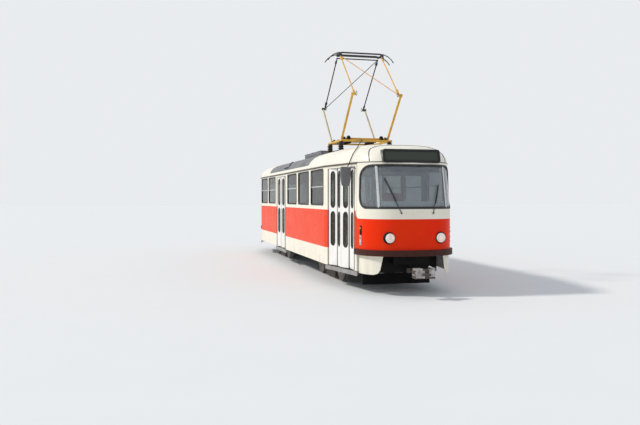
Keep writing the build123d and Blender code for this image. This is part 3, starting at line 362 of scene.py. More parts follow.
class Maker:
    """Collects points and faces for one piece."""

    def __init__(self):
        self.points = []
        self.faces = []

    def rings(self, rings, closed=False, place=Matrix()):
        """Joins rings of equally many points in a local frame, with a cap on each open end."""
        start, count = len(self.points), len(rings[0])
        for ring in rings:
            self.points += [place @ Vector(point) for point in ring]
        for i in range(len(rings) if closed else len(rings) - 1):
            a, b = start + i * count, start + (i + 1) % len(rings) * count
            for j in range(count):
                k = (j + 1) % count
                self.faces.append((a + j, a + k, b + k, b + j))
        if not closed:
            self.faces.append(tuple(range(start + count - 1, start - 1, -1)))
            self.faces.append(tuple(range(len(self.points) - count, len(self.points))))

    def sweep(self, path, outs, section, closed=False):
        """A section of (outward, sideways) points along a path with an outward direction at each point."""
        rings = []
        for i, (point, out) in enumerate(zip(path, outs)):
            before = path[i - 1] if i or closed else path[0]
            after = path[(i + 1) % len(path)] if i < len(path) - 1 or closed else path[-1]
            along = (after - before).normalized()
            out = (out - along * out.dot(along)).normalized()
            side = along.cross(out)
            rings.append([point + out * a + side * b for a, b in section])
        self.rings(rings, closed)

    def on_skin(self, end, route, section, proud=0.0, closed=False):
        """Sweeps a section along a route of (side, u, z) on an end's skin."""
        path, outs = zip(*(skin(end, *stop, proud) for stop in route))
        self.sweep(path, outs, section, closed)

    def on_plane(self, outline, place, section):
        """Sweeps a section round a closed outline on a local XZ plane that faces local -Y."""
        path = [place @ Vector((x, 0, z)) for x, z in outline]
        out = (place.to_3x3() @ Vector((0, -1, 0))).normalized()
        self.sweep(path, [out] * len(path), section, True)

    def tube(self, path, radius, sides=10, closed=False):
        """A round tube whose radius may change along its path."""
        radii = radius if hasattr(radius, "__len__") else [radius] * len(path)
        out = (path[1] - path[0]).orthogonal().normalized()
        rings = []
        for i, (point, size) in enumerate(zip(path, radii)):
            along = (path[min(i + 1, len(path) - 1)] - path[max(i - 1, 0)]).normalized()
            out = (out - along * out.dot(along)).normalized()
            side = along.cross(out)
            rings.append([point + (out * math.cos(t) + side * math.sin(t)) * size for t in circle(sides)])
        self.rings(rings, closed)

    def lathe(self, profile, place, sides=24):
        """A profile of (radius, height) points turned about the local Z axis."""
        round_z = [(math.cos(t), math.sin(t)) for t in circle(sides)]
        rings = [[(radius * c, radius * s, height) for c, s in round_z] for radius, height in profile]
        self.rings(rings, place=place)

    def box(self, low, high, place=Matrix()):
        """A box between two corners in a local frame."""
        (x0, y0, z0), (x1, y1, z1) = low, high
        corners = [(x0, y0), (x1, y0), (x1, y1), (x0, y1)]
        self.rings([[(x, y, z) for x, y in corners] for z in (z0, z1)], place=place)

    def plate(self, outline, depth, place):
        """An outline of (x, z) points with a thickness between two local y values."""
        self.rings([[(x, y, z) for x, z in outline] for y in depth], place=place)

    def piece(self, name, material, body="carbody", angle=35, bevel=0.0, segments=2):
        """Makes the object, rounds its edges and lets it ride on a body."""
        mesh = bpy.data.meshes.new(name)
        mesh.from_pydata(self.points, [], self.faces)
        work = bmesh.new()
        work.from_mesh(mesh)
        bmesh.ops.recalc_face_normals(work, faces=work.faces)
        if bevel:
            joined = [edge for edge in work.edges if len(edge.link_faces) == 2]
            edges = [edge for edge in joined if edge.calc_face_angle() > math.radians(40)]
            bmesh.ops.bevel(work, geom=edges, offset=bevel, segments=segments, profile=0.6, affect="EDGES",
                            clamp_overlap=True)
        work.to_mesh(mesh)
        work.free()
        mesh.shade_smooth()
        mesh.set_sharp_from_angle(angle=math.radians(angle))
        mesh.materials.append(MATERIALS[material])
        made = link_object(name, mesh)
        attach(made, body)
        return made


def makers(count):
    return [Maker() for _ in range(count)]


def dress_cad():
    """Gives every CAD node its material, and normals that run smoothly over its round faces."""
    for name, node in frame["nodes"].items():
        node.data.materials.clear()
        node.data.materials.append(MATERIALS[DRESSED_AS.get(name, SLOT_OF[name])])
        soften(node.data, 9.0 if name == "roof" else 0.35)
    for name in ("side_wall_right", "side_wall_left"):
        line_cabin(name, lambda point: Vector((point.x, 0, point.z)))
    for name, x in (("front_end", 5.5), ("rear_end", -5.5)):
        line_cabin(name, lambda point, x=x: Vector((x, 0, point.z)))
    line_cabin("roof", lambda point: Vector((max(min(point.x, 4.5), -4.5), 0, 1.9)))


def line_cabin(name, middle):
    """Gives the faces of a wall or roof that look towards the cabin's middle the lining's colour."""
    mesh = frame["nodes"][name].data
    mesh.materials.append(MATERIALS["lining"])
    for polygon in mesh.polygons:
        away = (polygon.center - middle(polygon.center)).normalized()
        if polygon.normal.dot(away) < -0.4:
            polygon.material_index = 1


def soften(mesh, flat_area, angle=math.radians(26)):
    """Averages the normals that meet at a point, unless a face is part of a large flat area."""
    places = [tuple(round(v, 5) for v in vertex.co) for vertex in mesh.vertices]
    faces = [polygon.normal.copy() for polygon in mesh.polygons]
    planes = [tuple(round(v, 2) for v in (*p.normal, p.normal.dot(p.center))) for p in mesh.polygons]
    areas, meeting = defaultdict(float), defaultdict(list)
    for i, polygon in enumerate(mesh.polygons):
        areas[planes[i]] += polygon.area
        for vertex in polygon.vertices:
            meeting[places[vertex]].append(i)
    limit = math.cos(angle)
    normals = []
    for i, polygon in enumerate(mesh.polygons):
        for vertex in polygon.vertices:
            near = {planes[j]: faces[j] for j in meeting[places[vertex]] if faces[j].dot(faces[i]) > limit}
            biggest = max(near, key=areas.get)
            if areas[planes[i]] > flat_area:
                normals.append(faces[i])
            elif areas[biggest] > flat_area:
                normals.append(near[biggest])
            else:
                normals.append(sum(near.values(), Vector()).normalized())
    mesh.shade_smooth()
    mesh.normals_split_custom_set(normals)


dress_cad()


def spaced(start, stop, steps):
    """Values from start to stop in equal steps."""
    return [start + (stop - start) * i / steps for i in range(steps + 1)]


def arc(centre, radius, start, stop, steps):
    """Points on an arc between two angles in degrees."""
    angles = [math.radians(angle) for angle in spaced(start, stop, steps)]
    return [(centre[0] + radius * math.cos(t), centre[1] + radius * math.sin(t)) for t in angles]


def rounded(half_width, low, high, radius, steps=5):
    """A closed outline of a rectangle with round corners, about x = 0."""
    x, up, down = half_width - radius, high - radius, low + radius
    points = []
    for centre, start in (((x, up), 0), ((-x, up), 90), ((-x, down), 180), ((x, down), 270)):
        points += arc(centre, radius, start, start + 90, steps)
    return points


def at(x, y, z):
    """A point with its height above the rail."""
    return Vector((x, y, z + LIFT))


def moved(x, y, z):
    return Matrix.Translation((x, y, z))


def facing(point, axis, quarters=1):
    """A frame at a point, turned about an axis by a number of right angles."""
    return Matrix.Translation(point) @ Matrix.Rotation(quarters * math.pi / 2, 4, axis)


# Turns a lathe's axis from local Z to local -Y, outward on a skin
OUTWARD = facing((0, 0, 0), "X")


def on_side(x, side=-1):
    """Maps (forward, inward, height above the rail) at x on a side's skin to the tram's frame."""
    end = 1 if x > 0 else -1
    past = max(abs(x) - TAPER_X[end], 0.0)
    turn = TAPER[end] * end if past else 0.0
    c, s = math.cos(turn), math.sin(turn)
    y = HALF_WIDTH - past * math.tan(TAPER[end])
    matrix = Matrix(((c, -s, 0, x), (s, c, 0, -y), (0, 0, 1, LIFT), (0, 0, 0, 1)))
    return matrix if side < 0 else Matrix.Diagonal((1, -1, 1, 1)) @ matrix


def plan_point(end, u, tip, half_width=HALF_WIDTH, corner=CORNER_R):
    """A point on one end's plan: u runs 0 to 1 down the taper, to 2 round the corner, to 3 at the middle."""
    slope = TAPER[end]
    share = math.tan(FACE_TURN / 2)
    fixed = corner * (math.cos(FACE_TURN) - math.sin(slope))
    fixed += share * (half_width + corner * (math.sin(FACE_TURN) - math.cos(slope)))
    run = (tip - TAPER_X[end] - fixed) / (math.cos(slope) - share * math.sin(slope))
    join = (TAPER_X[end] + run * math.cos(slope), half_width - run * math.sin(slope))
    centre = (join[0] - corner * math.sin(slope), join[1] - corner * math.cos(slope))
    if u <= 1:
        return TAPER_X[end] + (join[0] - TAPER_X[end]) * u, half_width + (join[1] - half_width) * u
    if u <= 2:
        turn = math.pi / 2 - slope + (FACE_TURN - math.pi / 2 + slope) * (u - 1)
        return centre[0] + corner * math.cos(turn), centre[1] + corner * math.sin(turn)
    radius = centre[1] / math.sin(FACE_TURN) + corner
    turn = FACE_TURN * (3 - u)
    return tip - radius + radius * math.cos(turn), radius * math.sin(turn)


def raw_skin(end, side, u, z):
    """A point on an end's outer skin, the leaning walls or the dome's rows."""
    if z <= WALL_TOP_Z:
        share = max(z - LEAN_Z, 0.0) / (WALL_TOP_Z - LEAN_Z)
        low, high = plan_point(end, u, TIP_X), plan_point(end, u, TIP_X - LEAN[end])
    else:
        row = max(i for i in range(len(ROOF_ROWS) - 1) if ROOF_ROWS[i][0] <= z + 1e-9)
        under, over = ROOF_ROWS[row], ROOF_ROWS[row + 1]
        share = (z - under[0]) / (over[0] - under[0])
        tip = 2 if end > 0 else 3
        low, high = (plan_point(end, u, r[tip], r[1], r[4]) for r in (under, over))
    x, y = low[0] + (high[0] - low[0]) * share, low[1] + (high[1] - low[1]) * share
    return Vector((end * x, side * y, z))


def skin(end, side, u, z, proud=0.0):
    """A point on an end's outer skin and its outward direction."""
    point = raw_skin(end, side, u, z)
    du, dz = 0.01, 0.004
    across = raw_skin(end, side, min(u + du, 3.0), z) - raw_skin(end, side, max(u - du, 0.0), z)
    out = across.cross(raw_skin(end, side, u, z + dz) - point).normalized()
    if out.dot(Vector((end, side * 0.3, 0.2))) < 0:
        out = -out
    return point + out * proud + Vector((0, 0, LIFT)), out


def find_u(end, z, x=None, y=None):
    """The u where the skin has a given |x| or |y| at a height."""
    low, high = 0.0, 3.0
    for _ in range(40):
        middle = (low + high) / 2
        point, _ = skin(end, 1, middle, z)
        short = abs(point.x) < x if x is not None else abs(point.y) > y
        low, high = (middle, high) if short else (low, middle)
    return (low + high) / 2


def level_route(end, z, stops):
    """A route at one height on an end's skin, for stops of (side, |y|)."""
    return [(side, find_u(end, z, y=y), z) for side, y in stops]


def screen_route(end):
    """The closed edge of a wrap-round screen, with round rear corners, as (side, u, z)."""
    low, high = SCREEN_Z
    turn_x = SCREEN_REAR_X[end] + SCREEN_R
    start = find_u(end, low, x=turn_x)
    half = [(low, u) for u in spaced(3, start, 14)]
    for x, z in arc((turn_x, low + SCREEN_R), SCREEN_R, 270, 180, 6)[1:]:
        half.append((z, find_u(end, z, x=x)))
    for x, z in arc((turn_x, high - SCREEN_R), SCREEN_R, 180, 90, 6):
        u = find_u(end, z, x=x)
        if u < 2.95:
            half.append((z, u))
    last, stop = half[-1]
    half += list(zip(spaced(last, high, 14), spaced(stop, 3, 14)))[1:]
    return [(-1, u, z) for z, u in half] + [(1, u, z) for z, u in reversed(half[1:-1])]


def skin_place(end, side, z, **where):
    """A frame on an end's skin at a height: local X level, local -Y outward, local Z up the skin."""
    point, out = skin(end, side, find_u(end, z, **where), z)
    level = Vector((0, 0, 1)).cross(out).normalized()
    axes = Matrix((level, -out, out.cross(level))).transposed()
    return Matrix.Translation(point) @ axes.to_4x4()


GASKET = [
    (0.007, -0.012), (0.007, 0.012), (-0.002, 0.017), (-0.016, 0.010), (-0.016, -0.010), (-0.002, -0.017),
]
POST = [(0.006, -0.018), (0.006, 0.018), (0.0, 0.026), (-0.014, 0.02), (-0.014, -0.02), (0.0, -0.026)]
VISOR = [(0.003, -0.055), (0.003, 0.055), (-0.003, 0.055), (-0.003, -0.055)]
VISOR_Z = 2.525
VISOR_STOPS = [(-1, 0.66 - 0.11 * i) for i in range(6)] + [(1, 0.11 * i) for i in range(7)]


def add_window_trim():
    """Rubber gaskets and hopper bars of the side windows."""
    gaskets, bars = makers(2)
    for x, side, barred in WINDOWS:
        place = on_side(x, side)
        gaskets.on_plane(rounded(WINDOW_HALF - 0.004, *WINDOW_Z, WINDOW_R), place, GASKET)
        if barred:
            bars.box((-WINDOW_HALF, 0.001, BAR_Z - 0.014), (WINDOW_HALF, SKIN_T, BAR_Z + 0.014), place)
            for edge in (-WINDOW_HALF + 0.008, WINDOW_HALF - 0.022):
                bars.box((edge, 0.003, BAR_Z), (edge + 0.014, SKIN_T, WINDOW_Z[1]), place)
    gaskets.piece("window_gaskets", "rubber")
    bars.piece("window_bars", "trim_aluminium", bevel=0.002)


def add_screen_trim():
    """Gaskets, posts and sun visors of both wrap-round screens."""
    gaskets, posts, visors = makers(3)
    for end in (1, -1):
        gaskets.on_skin(end, screen_route(end), [(out, aside * 1.5) for out, aside in GASKET], closed=True)
        heights = spaced(SCREEN_Z[0], POST_TOP_Z[end], 8)
        for side in (-1, 1):
            posts.on_skin(end, [(side, find_u(end, z, y=POST_Y), z) for z in heights], POST)
        visors.on_skin(end, level_route(end, VISOR_Z, VISOR_STOPS), VISOR, -0.04)
    gaskets.piece("screen_gaskets", "rubber", angle=50)
    posts.piece("screen_posts", "trim_aluminium", angle=50)
    visors.piece("sun_visors", "black_paint")


# A door leaf in its doorway's frame
LEAF_V = math.radians(9)
LEAF_PIVOT = (-0.688 + 0.025 * math.cos(LEAF_V), 0.032)
KNUCKLE_X = -0.3465
LEAF_END = 0.312
LEAF_HALF_T = 0.015
LEAF_Z = (0.439, 2.599)
PANE_MIDDLE = 0.1434
PANE_HALF = 0.09
PANE_DEPTH = (-0.005, 0.001)
PANES_Z = [(0.88, 1.64), (1.73, 2.54)]
PANE_RING = [(0.004, -0.008), (0.004, 0.008), (-0.009, 0.010), (-0.009, -0.010)]
FLIP_X = Matrix.Diagonal((-1, 1, 1, 1))

# A grab bar's bent route over its leaf's inner face: along, past the face, height
DOOR_BAR = [
    (0.060, -0.004, 0.920), (0.060, 0.033, 0.920), (0.064, 0.045, 0.934),
    (0.196, 0.045, 1.566), (0.200, 0.033, 1.580), (0.200, -0.004, 1.580),
]


def leaf_place(x, front, inner):
    """The frame of one door leaf: local X along it from its pivot, local -Y to the street."""
    place = on_side(x) @ FLIP_X if front else on_side(x)
    if inner:
        place = place @ moved(2 * KNUCKLE_X, 0, 0) @ FLIP_X
    return place @ moved(*LEAF_PIVOT, 0) @ Matrix.Rotation(LEAF_V, 4, "Z")


def glaze(name, place):
    """Gives a leaf's two panes the windows' glass."""
    mesh = frame["nodes"][name].data
    mesh.materials.append(MATERIALS["door_glass"])
    back = place.inverted()
    to_street = (place.to_3x3() @ Vector((0, -1, 0))).normalized()
    for polygon in mesh.polygons:
        facing_out = polygon.normal.dot(to_street)
        depth = (back @ polygon.center).y
        outer = facing_out > 0.9 and abs(depth - PANE_DEPTH[0]) < 0.001
        if outer or (facing_out < -0.9 and abs(depth - PANE_DEPTH[1]) < 0.001):
            polygon.material_index = 1


def add_door_trim():
    """Each leaf's pane rubbers, the inner leaves' meeting rubbers and yellow bars, and the leaves' glass."""
    for door, pair, leaf in product(DOORS, ("rear", "front"), ("outer", "inner")):
        body = f"door_{door}_{pair}_{leaf}"
        place = leaf_place(DOORS[door], pair == "front", leaf == "inner")
        glaze(body, place)
        rubbers = Maker()
        for low, high in PANES_Z:
            outline = [(x + PANE_MIDDLE, z) for x, z in rounded(PANE_HALF, low, high, PANE_HALF - 0.001, 8)]
            rubbers.on_plane(outline, place @ moved(0, -LEAF_HALF_T, 0), PANE_RING)
        if leaf == "inner":
            low = (LEAF_END - 0.045, -LEAF_HALF_T - 0.001, LEAF_Z[0])
            rubbers.box(low, (LEAF_END + 0.003, LEAF_HALF_T + 0.003, LEAF_Z[1]), place)
            bar = Maker()
            bar.tube([place @ Vector((x, LEAF_HALF_T + past, z)) for x, past, z in DOOR_BAR], 0.014)
            bar.piece(f"{body}_bar", "grab_yellow", body, 60)
        rubbers.piece(f"{body}_rubbers", "rubber", body)


# The dome's cap joint. Columns: height, distance forward
DOME_SEAM = [
    (2.69, 6.455), (2.75, 6.435), (2.83, 6.376), (2.91, 6.283), (2.957, 6.228), (2.993, 6.182),
    (3.012, 6.161), (3.025, 6.146), (3.036, 6.130), (3.0415, 6.122), (3.0450, 6.1182),
]
DOME_GROOVE = [(0.006, -0.008), (0.006, 0.008), (-0.010, 0.012), (-0.010, -0.012)]
WALL_SEAMS = {1: 6.15, -1: 6.48}
WALL_SEAM_Z = spaced(0.90, 2.655, 12)
WALL_GROOVE = [(0.0012, -0.003), (0.0012, 0.003), (-0.003, 0.003), (-0.003, -0.003)]
SIDE_LAMPS = [(-2.22, 1.56), (0.06, 1.57), (4.50, 1.58), (-4.80, 1.54)]
SIDE_LAMP = [(0.024, 0), (0.024, 0.006), (0.018, 0.012), (0.006, 0.015)]
GUTTER_LINE_Z = 2.668

# Gutter edges along the tapers. Columns: end, start, stop
GUTTER_RUNS = [(-1, 6.46, TAPER_X[-1]), (1, TAPER_X[1] + 0.001, 6.131)]
GUTTER = [(0.020, -0.016), (0.026, -0.012), (0.026, 0.012), (0.020, 0.016), (0.0, 0.016), (0.0, -0.016)]
SCUTTLE_Z = 1.640
SCUTTLE_STOPS = [(-1, 0.24 - 0.06 * i) for i in range(4)] + [(1, 0.06 * i) for i in range(5)]
SCUTTLE = [(0.010, -0.004), (0.004, -0.018), (-0.004, -0.018), (-0.004, 0.014), (0.010, 0.010)]


def add_seams():
    """Joints of the wall panels and of the domes' caps."""
    seams = Maker()
    knots = [(find_u(1, z, x=x), z) for z, x in DOME_SEAM]
    for side in (-1, 1):
        for end, x in WALL_SEAMS.items():
            seams.on_skin(end, [(side, find_u(end, z, x=x), z) for z in WALL_SEAM_Z], WALL_GROOVE)
        for end in (1, -1):
            route = [(side, *knots[0])]
            for (u0, z0), (u1, z1) in zip(knots, knots[1:]):
                between = list(zip(spaced(u0, u1, 4), spaced(z0, z1, 4)))[1:]
                route += [(side, u, z) for u, z in between]
            seams.on_skin(end, route, DOME_GROOVE)
    seams.piece("panel_seams", "rubber")


def add_body_trim():
    """Side lamps, gutter edges, the edges round the doorways and the scuttle moulding."""
    lamps, gutters, jambs, scuttle = makers(4)
    for x, z in SIDE_LAMPS:
        lamps.lathe(SIDE_LAMP, on_side(x) @ moved(0, 0.001, z) @ OUTWARD, 14)
    lamps.piece("side_lamps", "amber_lens", angle=50)
    for side in (-1, 1):
        found = []
        for end, start, stop in GUTTER_RUNS:
            us = [find_u(end, GUTTER_LINE_Z, x=x) for x in spaced(start, stop, 8)]
            found += [skin(end, side, u, GUTTER_LINE_Z) for u in us]
        outs = [Vector((out.x, out.y, 0)).normalized() for _, out in found]
        gutters.sweep([point for point, _ in found], outs, GUTTER)
    gutters.piece("gutter_edges", "gutter_brown", angle=50)
    for x in DOORS.values():
        for low, high in ((-DOOR_HALF - 0.026, -DOOR_HALF), (DOOR_HALF, DOOR_HALF + 0.026)):
            jambs.box((low, -0.003, DOOR_Z[0]), (high, 0.004, DOOR_Z[1]), on_side(x))
    jambs.piece("doorway_edges", "rubber", bevel=0.0015)
    scuttle.on_skin(1, level_route(1, SCUTTLE_Z, SCUTTLE_STOPS), SCUTTLE)
    scuttle.piece("scuttle_moulding", "body_paint", angle=50)


SIGN_MIDDLE = (6.683, 0, 2.7915)
SIGN_UP = Vector((-0.066, 0, 0.247)).normalized()
SIGN_FRAME = [
    (0.012, -0.024), (0.015, -0.018), (0.015, 0.018), (0.009, 0.024), (-0.012, 0.024), (-0.012, -0.020),
]


def add_sign_trim():
    """The frame round the blank route display."""
    inward = Vector((-SIGN_UP.z, 0, SIGN_UP.x))
    axes = Matrix((Vector((0, 1, 0)), inward, SIGN_UP)).transposed()
    place = Matrix.Translation(at(*SIGN_MIDDLE)) @ axes.to_4x4()
    ring = Maker()
    ring.on_plane(rounded(0.590, -0.118, 0.118, 0.03), place, SIGN_FRAME)
    ring.piece("display_frame", "display_edge", angle=50)


HEADLAMP = (0.54, 1.145)
HEADLAMP_RIM = [(0.100, -0.03), (0.119, -0.03), (0.119, 0.018), (0.108, 0.034), (0.100, 0.037)]
HEADLAMP_BEAD = [(0.094, 0.030), (0.103, 0.030), (0.103, 0.048), (0.094, 0.050)]
TAIL_LAMPS = [(0.56, 1.05), (0.56, 1.21)]
TAIL_RIM = [(0.058, -0.02), (0.072, -0.02), (0.072, 0.012), (0.061, 0.024), (0.058, 0.024)]
INDICATOR_X = 6.35

# A lamp glass of radius 1. Columns: radius, height
DOME = [(1.0, 0.0), (0.96, 0.10), (0.82, 0.19), (0.60, 0.26), (0.34, 0.30), (0.06, 0.315)]


def add_lamps():
    """Rims and domed glasses of the head and tail lamps, and the front corners' indicators."""
    rims, glasses, tail_rims, tail_domes, cases, pale_cases, lenses = makers(7)
    for side in (-1, 1):
        y, z = HEADLAMP
        place = facing(at(skin_place(1, side, z, y=y).translation.x, side * y, z), "Y")
        rims.lathe(HEADLAMP_RIM, place, 32)
        rims.lathe(HEADLAMP_BEAD, place, 32)
        glasses.lathe([(0.095 * r, 0.044 + 0.095 * h) for r, h in DOME], place, 32)
        for y, z in TAIL_LAMPS:
            place = facing(at(skin_place(-1, side, z, y=y).translation.x, side * y, z), "Y", -1)
            tail_rims.lathe(TAIL_RIM, place, 28)
            tail_domes.lathe([(0.059 * r, 0.021 + 0.05 * h) for r, h in DOME], place, 28)
        place = skin_place(1, side, 1.0, x=INDICATOR_X)
        cases.plate(rounded(0.030, 0.19, 0.38, 0.014), (0.004, -0.012), place)
        pale_cases.plate(rounded(0.034, -0.02, 0.186, 0.014), (0.004, -0.014), place)
        for z, radius, maker in ((0.325, 0.023, lenses), (0.245, 0.023, cases), (0.13, 0.026, lenses),
                                 (0.045, 0.026, pale_cases)):
            dome = [(radius * r, 0.004 + 0.05 * h) for r, h in DOME]
            maker.lathe(dome, place @ moved(0, -0.010, z) @ OUTWARD, 18)
    rims.piece("headlamp_rims", "black_paint", angle=50)
    glasses.piece("headlamp_glasses", "lamp_glass", angle=60)
    tail_rims.piece("tail_lamp_rims", "rubber", angle=50)
    tail_domes.piece("tail_lamp_domes", "tail_lamp_plastic", angle=60)
    cases.piece("indicator_cases", "black_paint", bevel=0.003)
    pale_cases.piece("indicator_bases", "trim_aluminium", bevel=0.003)
    lenses.piece("indicator_lenses", "amber_lens", angle=60)


# The mirror's housing. Columns: height from its middle, half width, share of its depth
MIRROR_AT = (5.980, -1.190, 2.390)
MIRROR_RINGS = [
    (-0.204, 0.040, 0.55), (-0.198, 0.062, 0.80), (-0.180, 0.082, 0.95), (-0.130, 0.095, 1.0),
    (-0.05, 0.106, 1.0), (0.05, 0.112, 1.0), (0.13, 0.114, 1.0), (0.180, 0.112, 0.96),
    (0.198, 0.100, 0.82), (0.203, 0.080, 0.60),
]
MIRROR_ARM = [(6.09, -0.975, 2.555), (6.09, -1.05, 2.565), (6.065, -1.12, 2.570), (6.00, -1.17, 2.565)]


def add_mirror():
    """The boxed mirror: a tapered housing with its glass to the rear, on the arm from the doorway's edge."""
    place = Matrix.Translation(at(*MIRROR_AT))
    housing, glass = makers(2)
    rings = []
    for z, half, depth in MIRROR_RINGS:
        ring = []
        for turn in circle(28):
            c, s = math.cos(turn), math.sin(turn)
            x = 0.040 * depth * math.copysign(abs(s) ** 0.55, s)
            ring.append((x, half * math.copysign(abs(c) ** 0.45, c), z))
        rings.append(ring)
    housing.rings(rings, place=place)
    housing.tube([at(*point) for point in MIRROR_ARM], [0.016, 0.013, 0.013, 0.013], 12)
    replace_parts(housing.piece("mirror_housing", "mirror_plastic", "carbody", angle=60), "wing_mirror")
    half = [(y * 0.86, z * 0.9) for z, y, _ in MIRROR_RINGS]
    glass.plate(half + [(-y, z) for y, z in reversed(half)], (0.037, 0.0415), place @ facing((0, 0, 0), "Z"))
    glass.piece("mirror_glass_pane", "mirror_glass", bevel=0.0015)


# Wipers. Columns: the pivot's y, the tip's y and height
WIPERS = [(-0.31, -0.60, 2.33), (0.37, 0.53, 2.20)]
WIPER_PIVOT_Z = 1.64
BLADE_ASIDE = 0.022


def wiper_point(wiper, share, aside, proud):
    """A point beside a wiper's arm, at a share of the way up it."""
    y0, y1, z1 = wiper
    y, z = y0 + (y1 - y0) * share + aside, WIPER_PIVOT_Z + (z1 - WIPER_PIVOT_Z) * share
    return skin(1, math.copysign(1, y), find_u(1, z, y=abs(y)), z, proud)[0]


def add_wipers():
    """Blades with their holders along the wipers' arms."""
    blades = Maker()
    for wiper in WIPERS:
        blades.tube([wiper_point(wiper, 0.34 + 0.07 * i, BLADE_ASIDE, -0.005) for i in range(11)], 0.006, 6)
        blades.tube([wiper_point(wiper, 0.42 + 0.06 * i, BLADE_ASIDE, 0.006) for i in range(10)], 0.007, 6)
        holder = [wiper_point(wiper, 0.70, *spot) for spot in ((0, 0.018), (BLADE_ASIDE, 0.008))]
        blades.tube(holder, 0.008, 6)
    blades.piece("wiper_blades", "wiper_black", angle=50)


# Pantograph: its middle, then heights above the rail and distances out from the middle
PANTO_X = 3.05
BASE_Z = 3.40
BASE_OUT = 0.48
FOOT_OUT = 0.52
RAIL_OUT = 0.72
CAM_Y = 0.42
SPRING_Y = 0.30
SPRING_DROP = 0.055
SPRING_X = (-0.52, 0.40)
SHUNT_R = 0.05
STRIP_X = 0.15
KNEE = (1.41, 4.35)
PIN = (0.16, 5.47)
PANTO_W = 0.622
ARM_Y = PANTO_W - 0.081
HEAD_Y = PANTO_W - 0.085
BEARING_Y = PANTO_W - 0.095
KNEE_Y = PANTO_W - 0.032
SHED_Z = (3.145, 3.19, 3.235, 3.28)
SHED = [(0.056, -0.012), (0.078, -0.004), (0.080, 0), (0.056, 0.014)]
INSULATOR = [(0.052, 3.10), (0.052, 3.128)]
INSULATOR += [(radius, z + rise) for z in SHED_Z for radius, rise in SHED]
INSULATOR += [(0.052, 3.31), (0.052, 3.326)]

# Arms. Columns: end, name, radius of the shaft's cams, fittings' paint
ARM_LOOKS = [(1, "front", 0.075, "pantograph_yellow"), (-1, "rear", 0.05, "pantograph_dark")]

# The taut pull-down rope from the base frame over the dome to the mirror's arm
ROPE = [
    (3.68, -0.13, 3.345), (5.20, -0.670, 3.112), (5.545, -0.792, 3.042), (5.72, -0.872, 2.992),
    (5.81, -0.930, 2.945), (5.86, -0.997, 2.860), (5.85, -1.040, 2.760), (5.85, -1.072, 2.680),
    (6.00, -1.155, 2.580),
]


def panto_point(end, out, y, z):
    return at(PANTO_X + end * out, y, z)


def upper_point(end, y, share):
    """A point on an upper arm, at a share of the way from its knee to the head's pin."""
    return panto_point(end, KNEE[0] + (PIN[0] - KNEE[0]) * share, y, KNEE[1] + (PIN[1] - KNEE[1]) * share)


def helix(start, stop, radius, turns, steps):
    """Points of a coil between two points."""
    axis = stop - start
    out = axis.orthogonal().normalized()
    side = axis.normalized().cross(out)
    points = []
    for i in range(turns * steps + 1):
        turn = 2 * math.pi * i / steps
        along = start + axis * (i / (turns * steps))
        points.append(along + (out * math.cos(turn) + side * math.sin(turn)) * radius)
    return points


def both_ways(profile):
    """A profile of (radius, height) points with its mirror image below the middle first."""
    return [(radius, -height) for radius, height in profile] + profile[::-1]


def add_pantograph_base():
    """Insulator sheds, roof rails, bearings and springs of the pantograph's base."""
    sheds, rails, castings, springs = makers(4)
    for side in (-1, 1):
        y = side * PANTO_W
        for end in (1, -1):
            sheds.lathe(INSULATOR, Matrix.Translation(panto_point(end, FOOT_OUT, y, 0)))
            bearing = facing(panto_point(end, BASE_OUT, side * BEARING_Y, BASE_Z), "X")
            castings.lathe(both_ways([(0.03, 0.021), (0.046, 0.019)]), bearing, 20)
        rails.box(panto_point(-1, RAIL_OUT, y - 0.035, 3.085), panto_point(1, RAIL_OUT, y + 0.035, 3.125))
        anchor, cam = (panto_point(1, x, side * SPRING_Y, BASE_Z - SPRING_DROP) for x in SPRING_X)
        springs.tube(helix(anchor.lerp(cam, 0.12), anchor.lerp(cam, 0.80), 0.032, 26, 8), 0.008, 5)
        springs.tube([anchor, anchor.lerp(cam, 0.16)], 0.010, 8)
        springs.tube([anchor.lerp(cam, 0.76), cam], 0.010, 8)
    sheds.piece("insulator_sheds", "insulator_brown", angle=50)
    rails.piece("pantograph_roof_rails", "frame_steel", bevel=0.004)
    castings.piece("pantograph_bearings", "pantograph_dark", angle=50)
    springs.piece("pantograph_springs", "black_paint", angle=60)


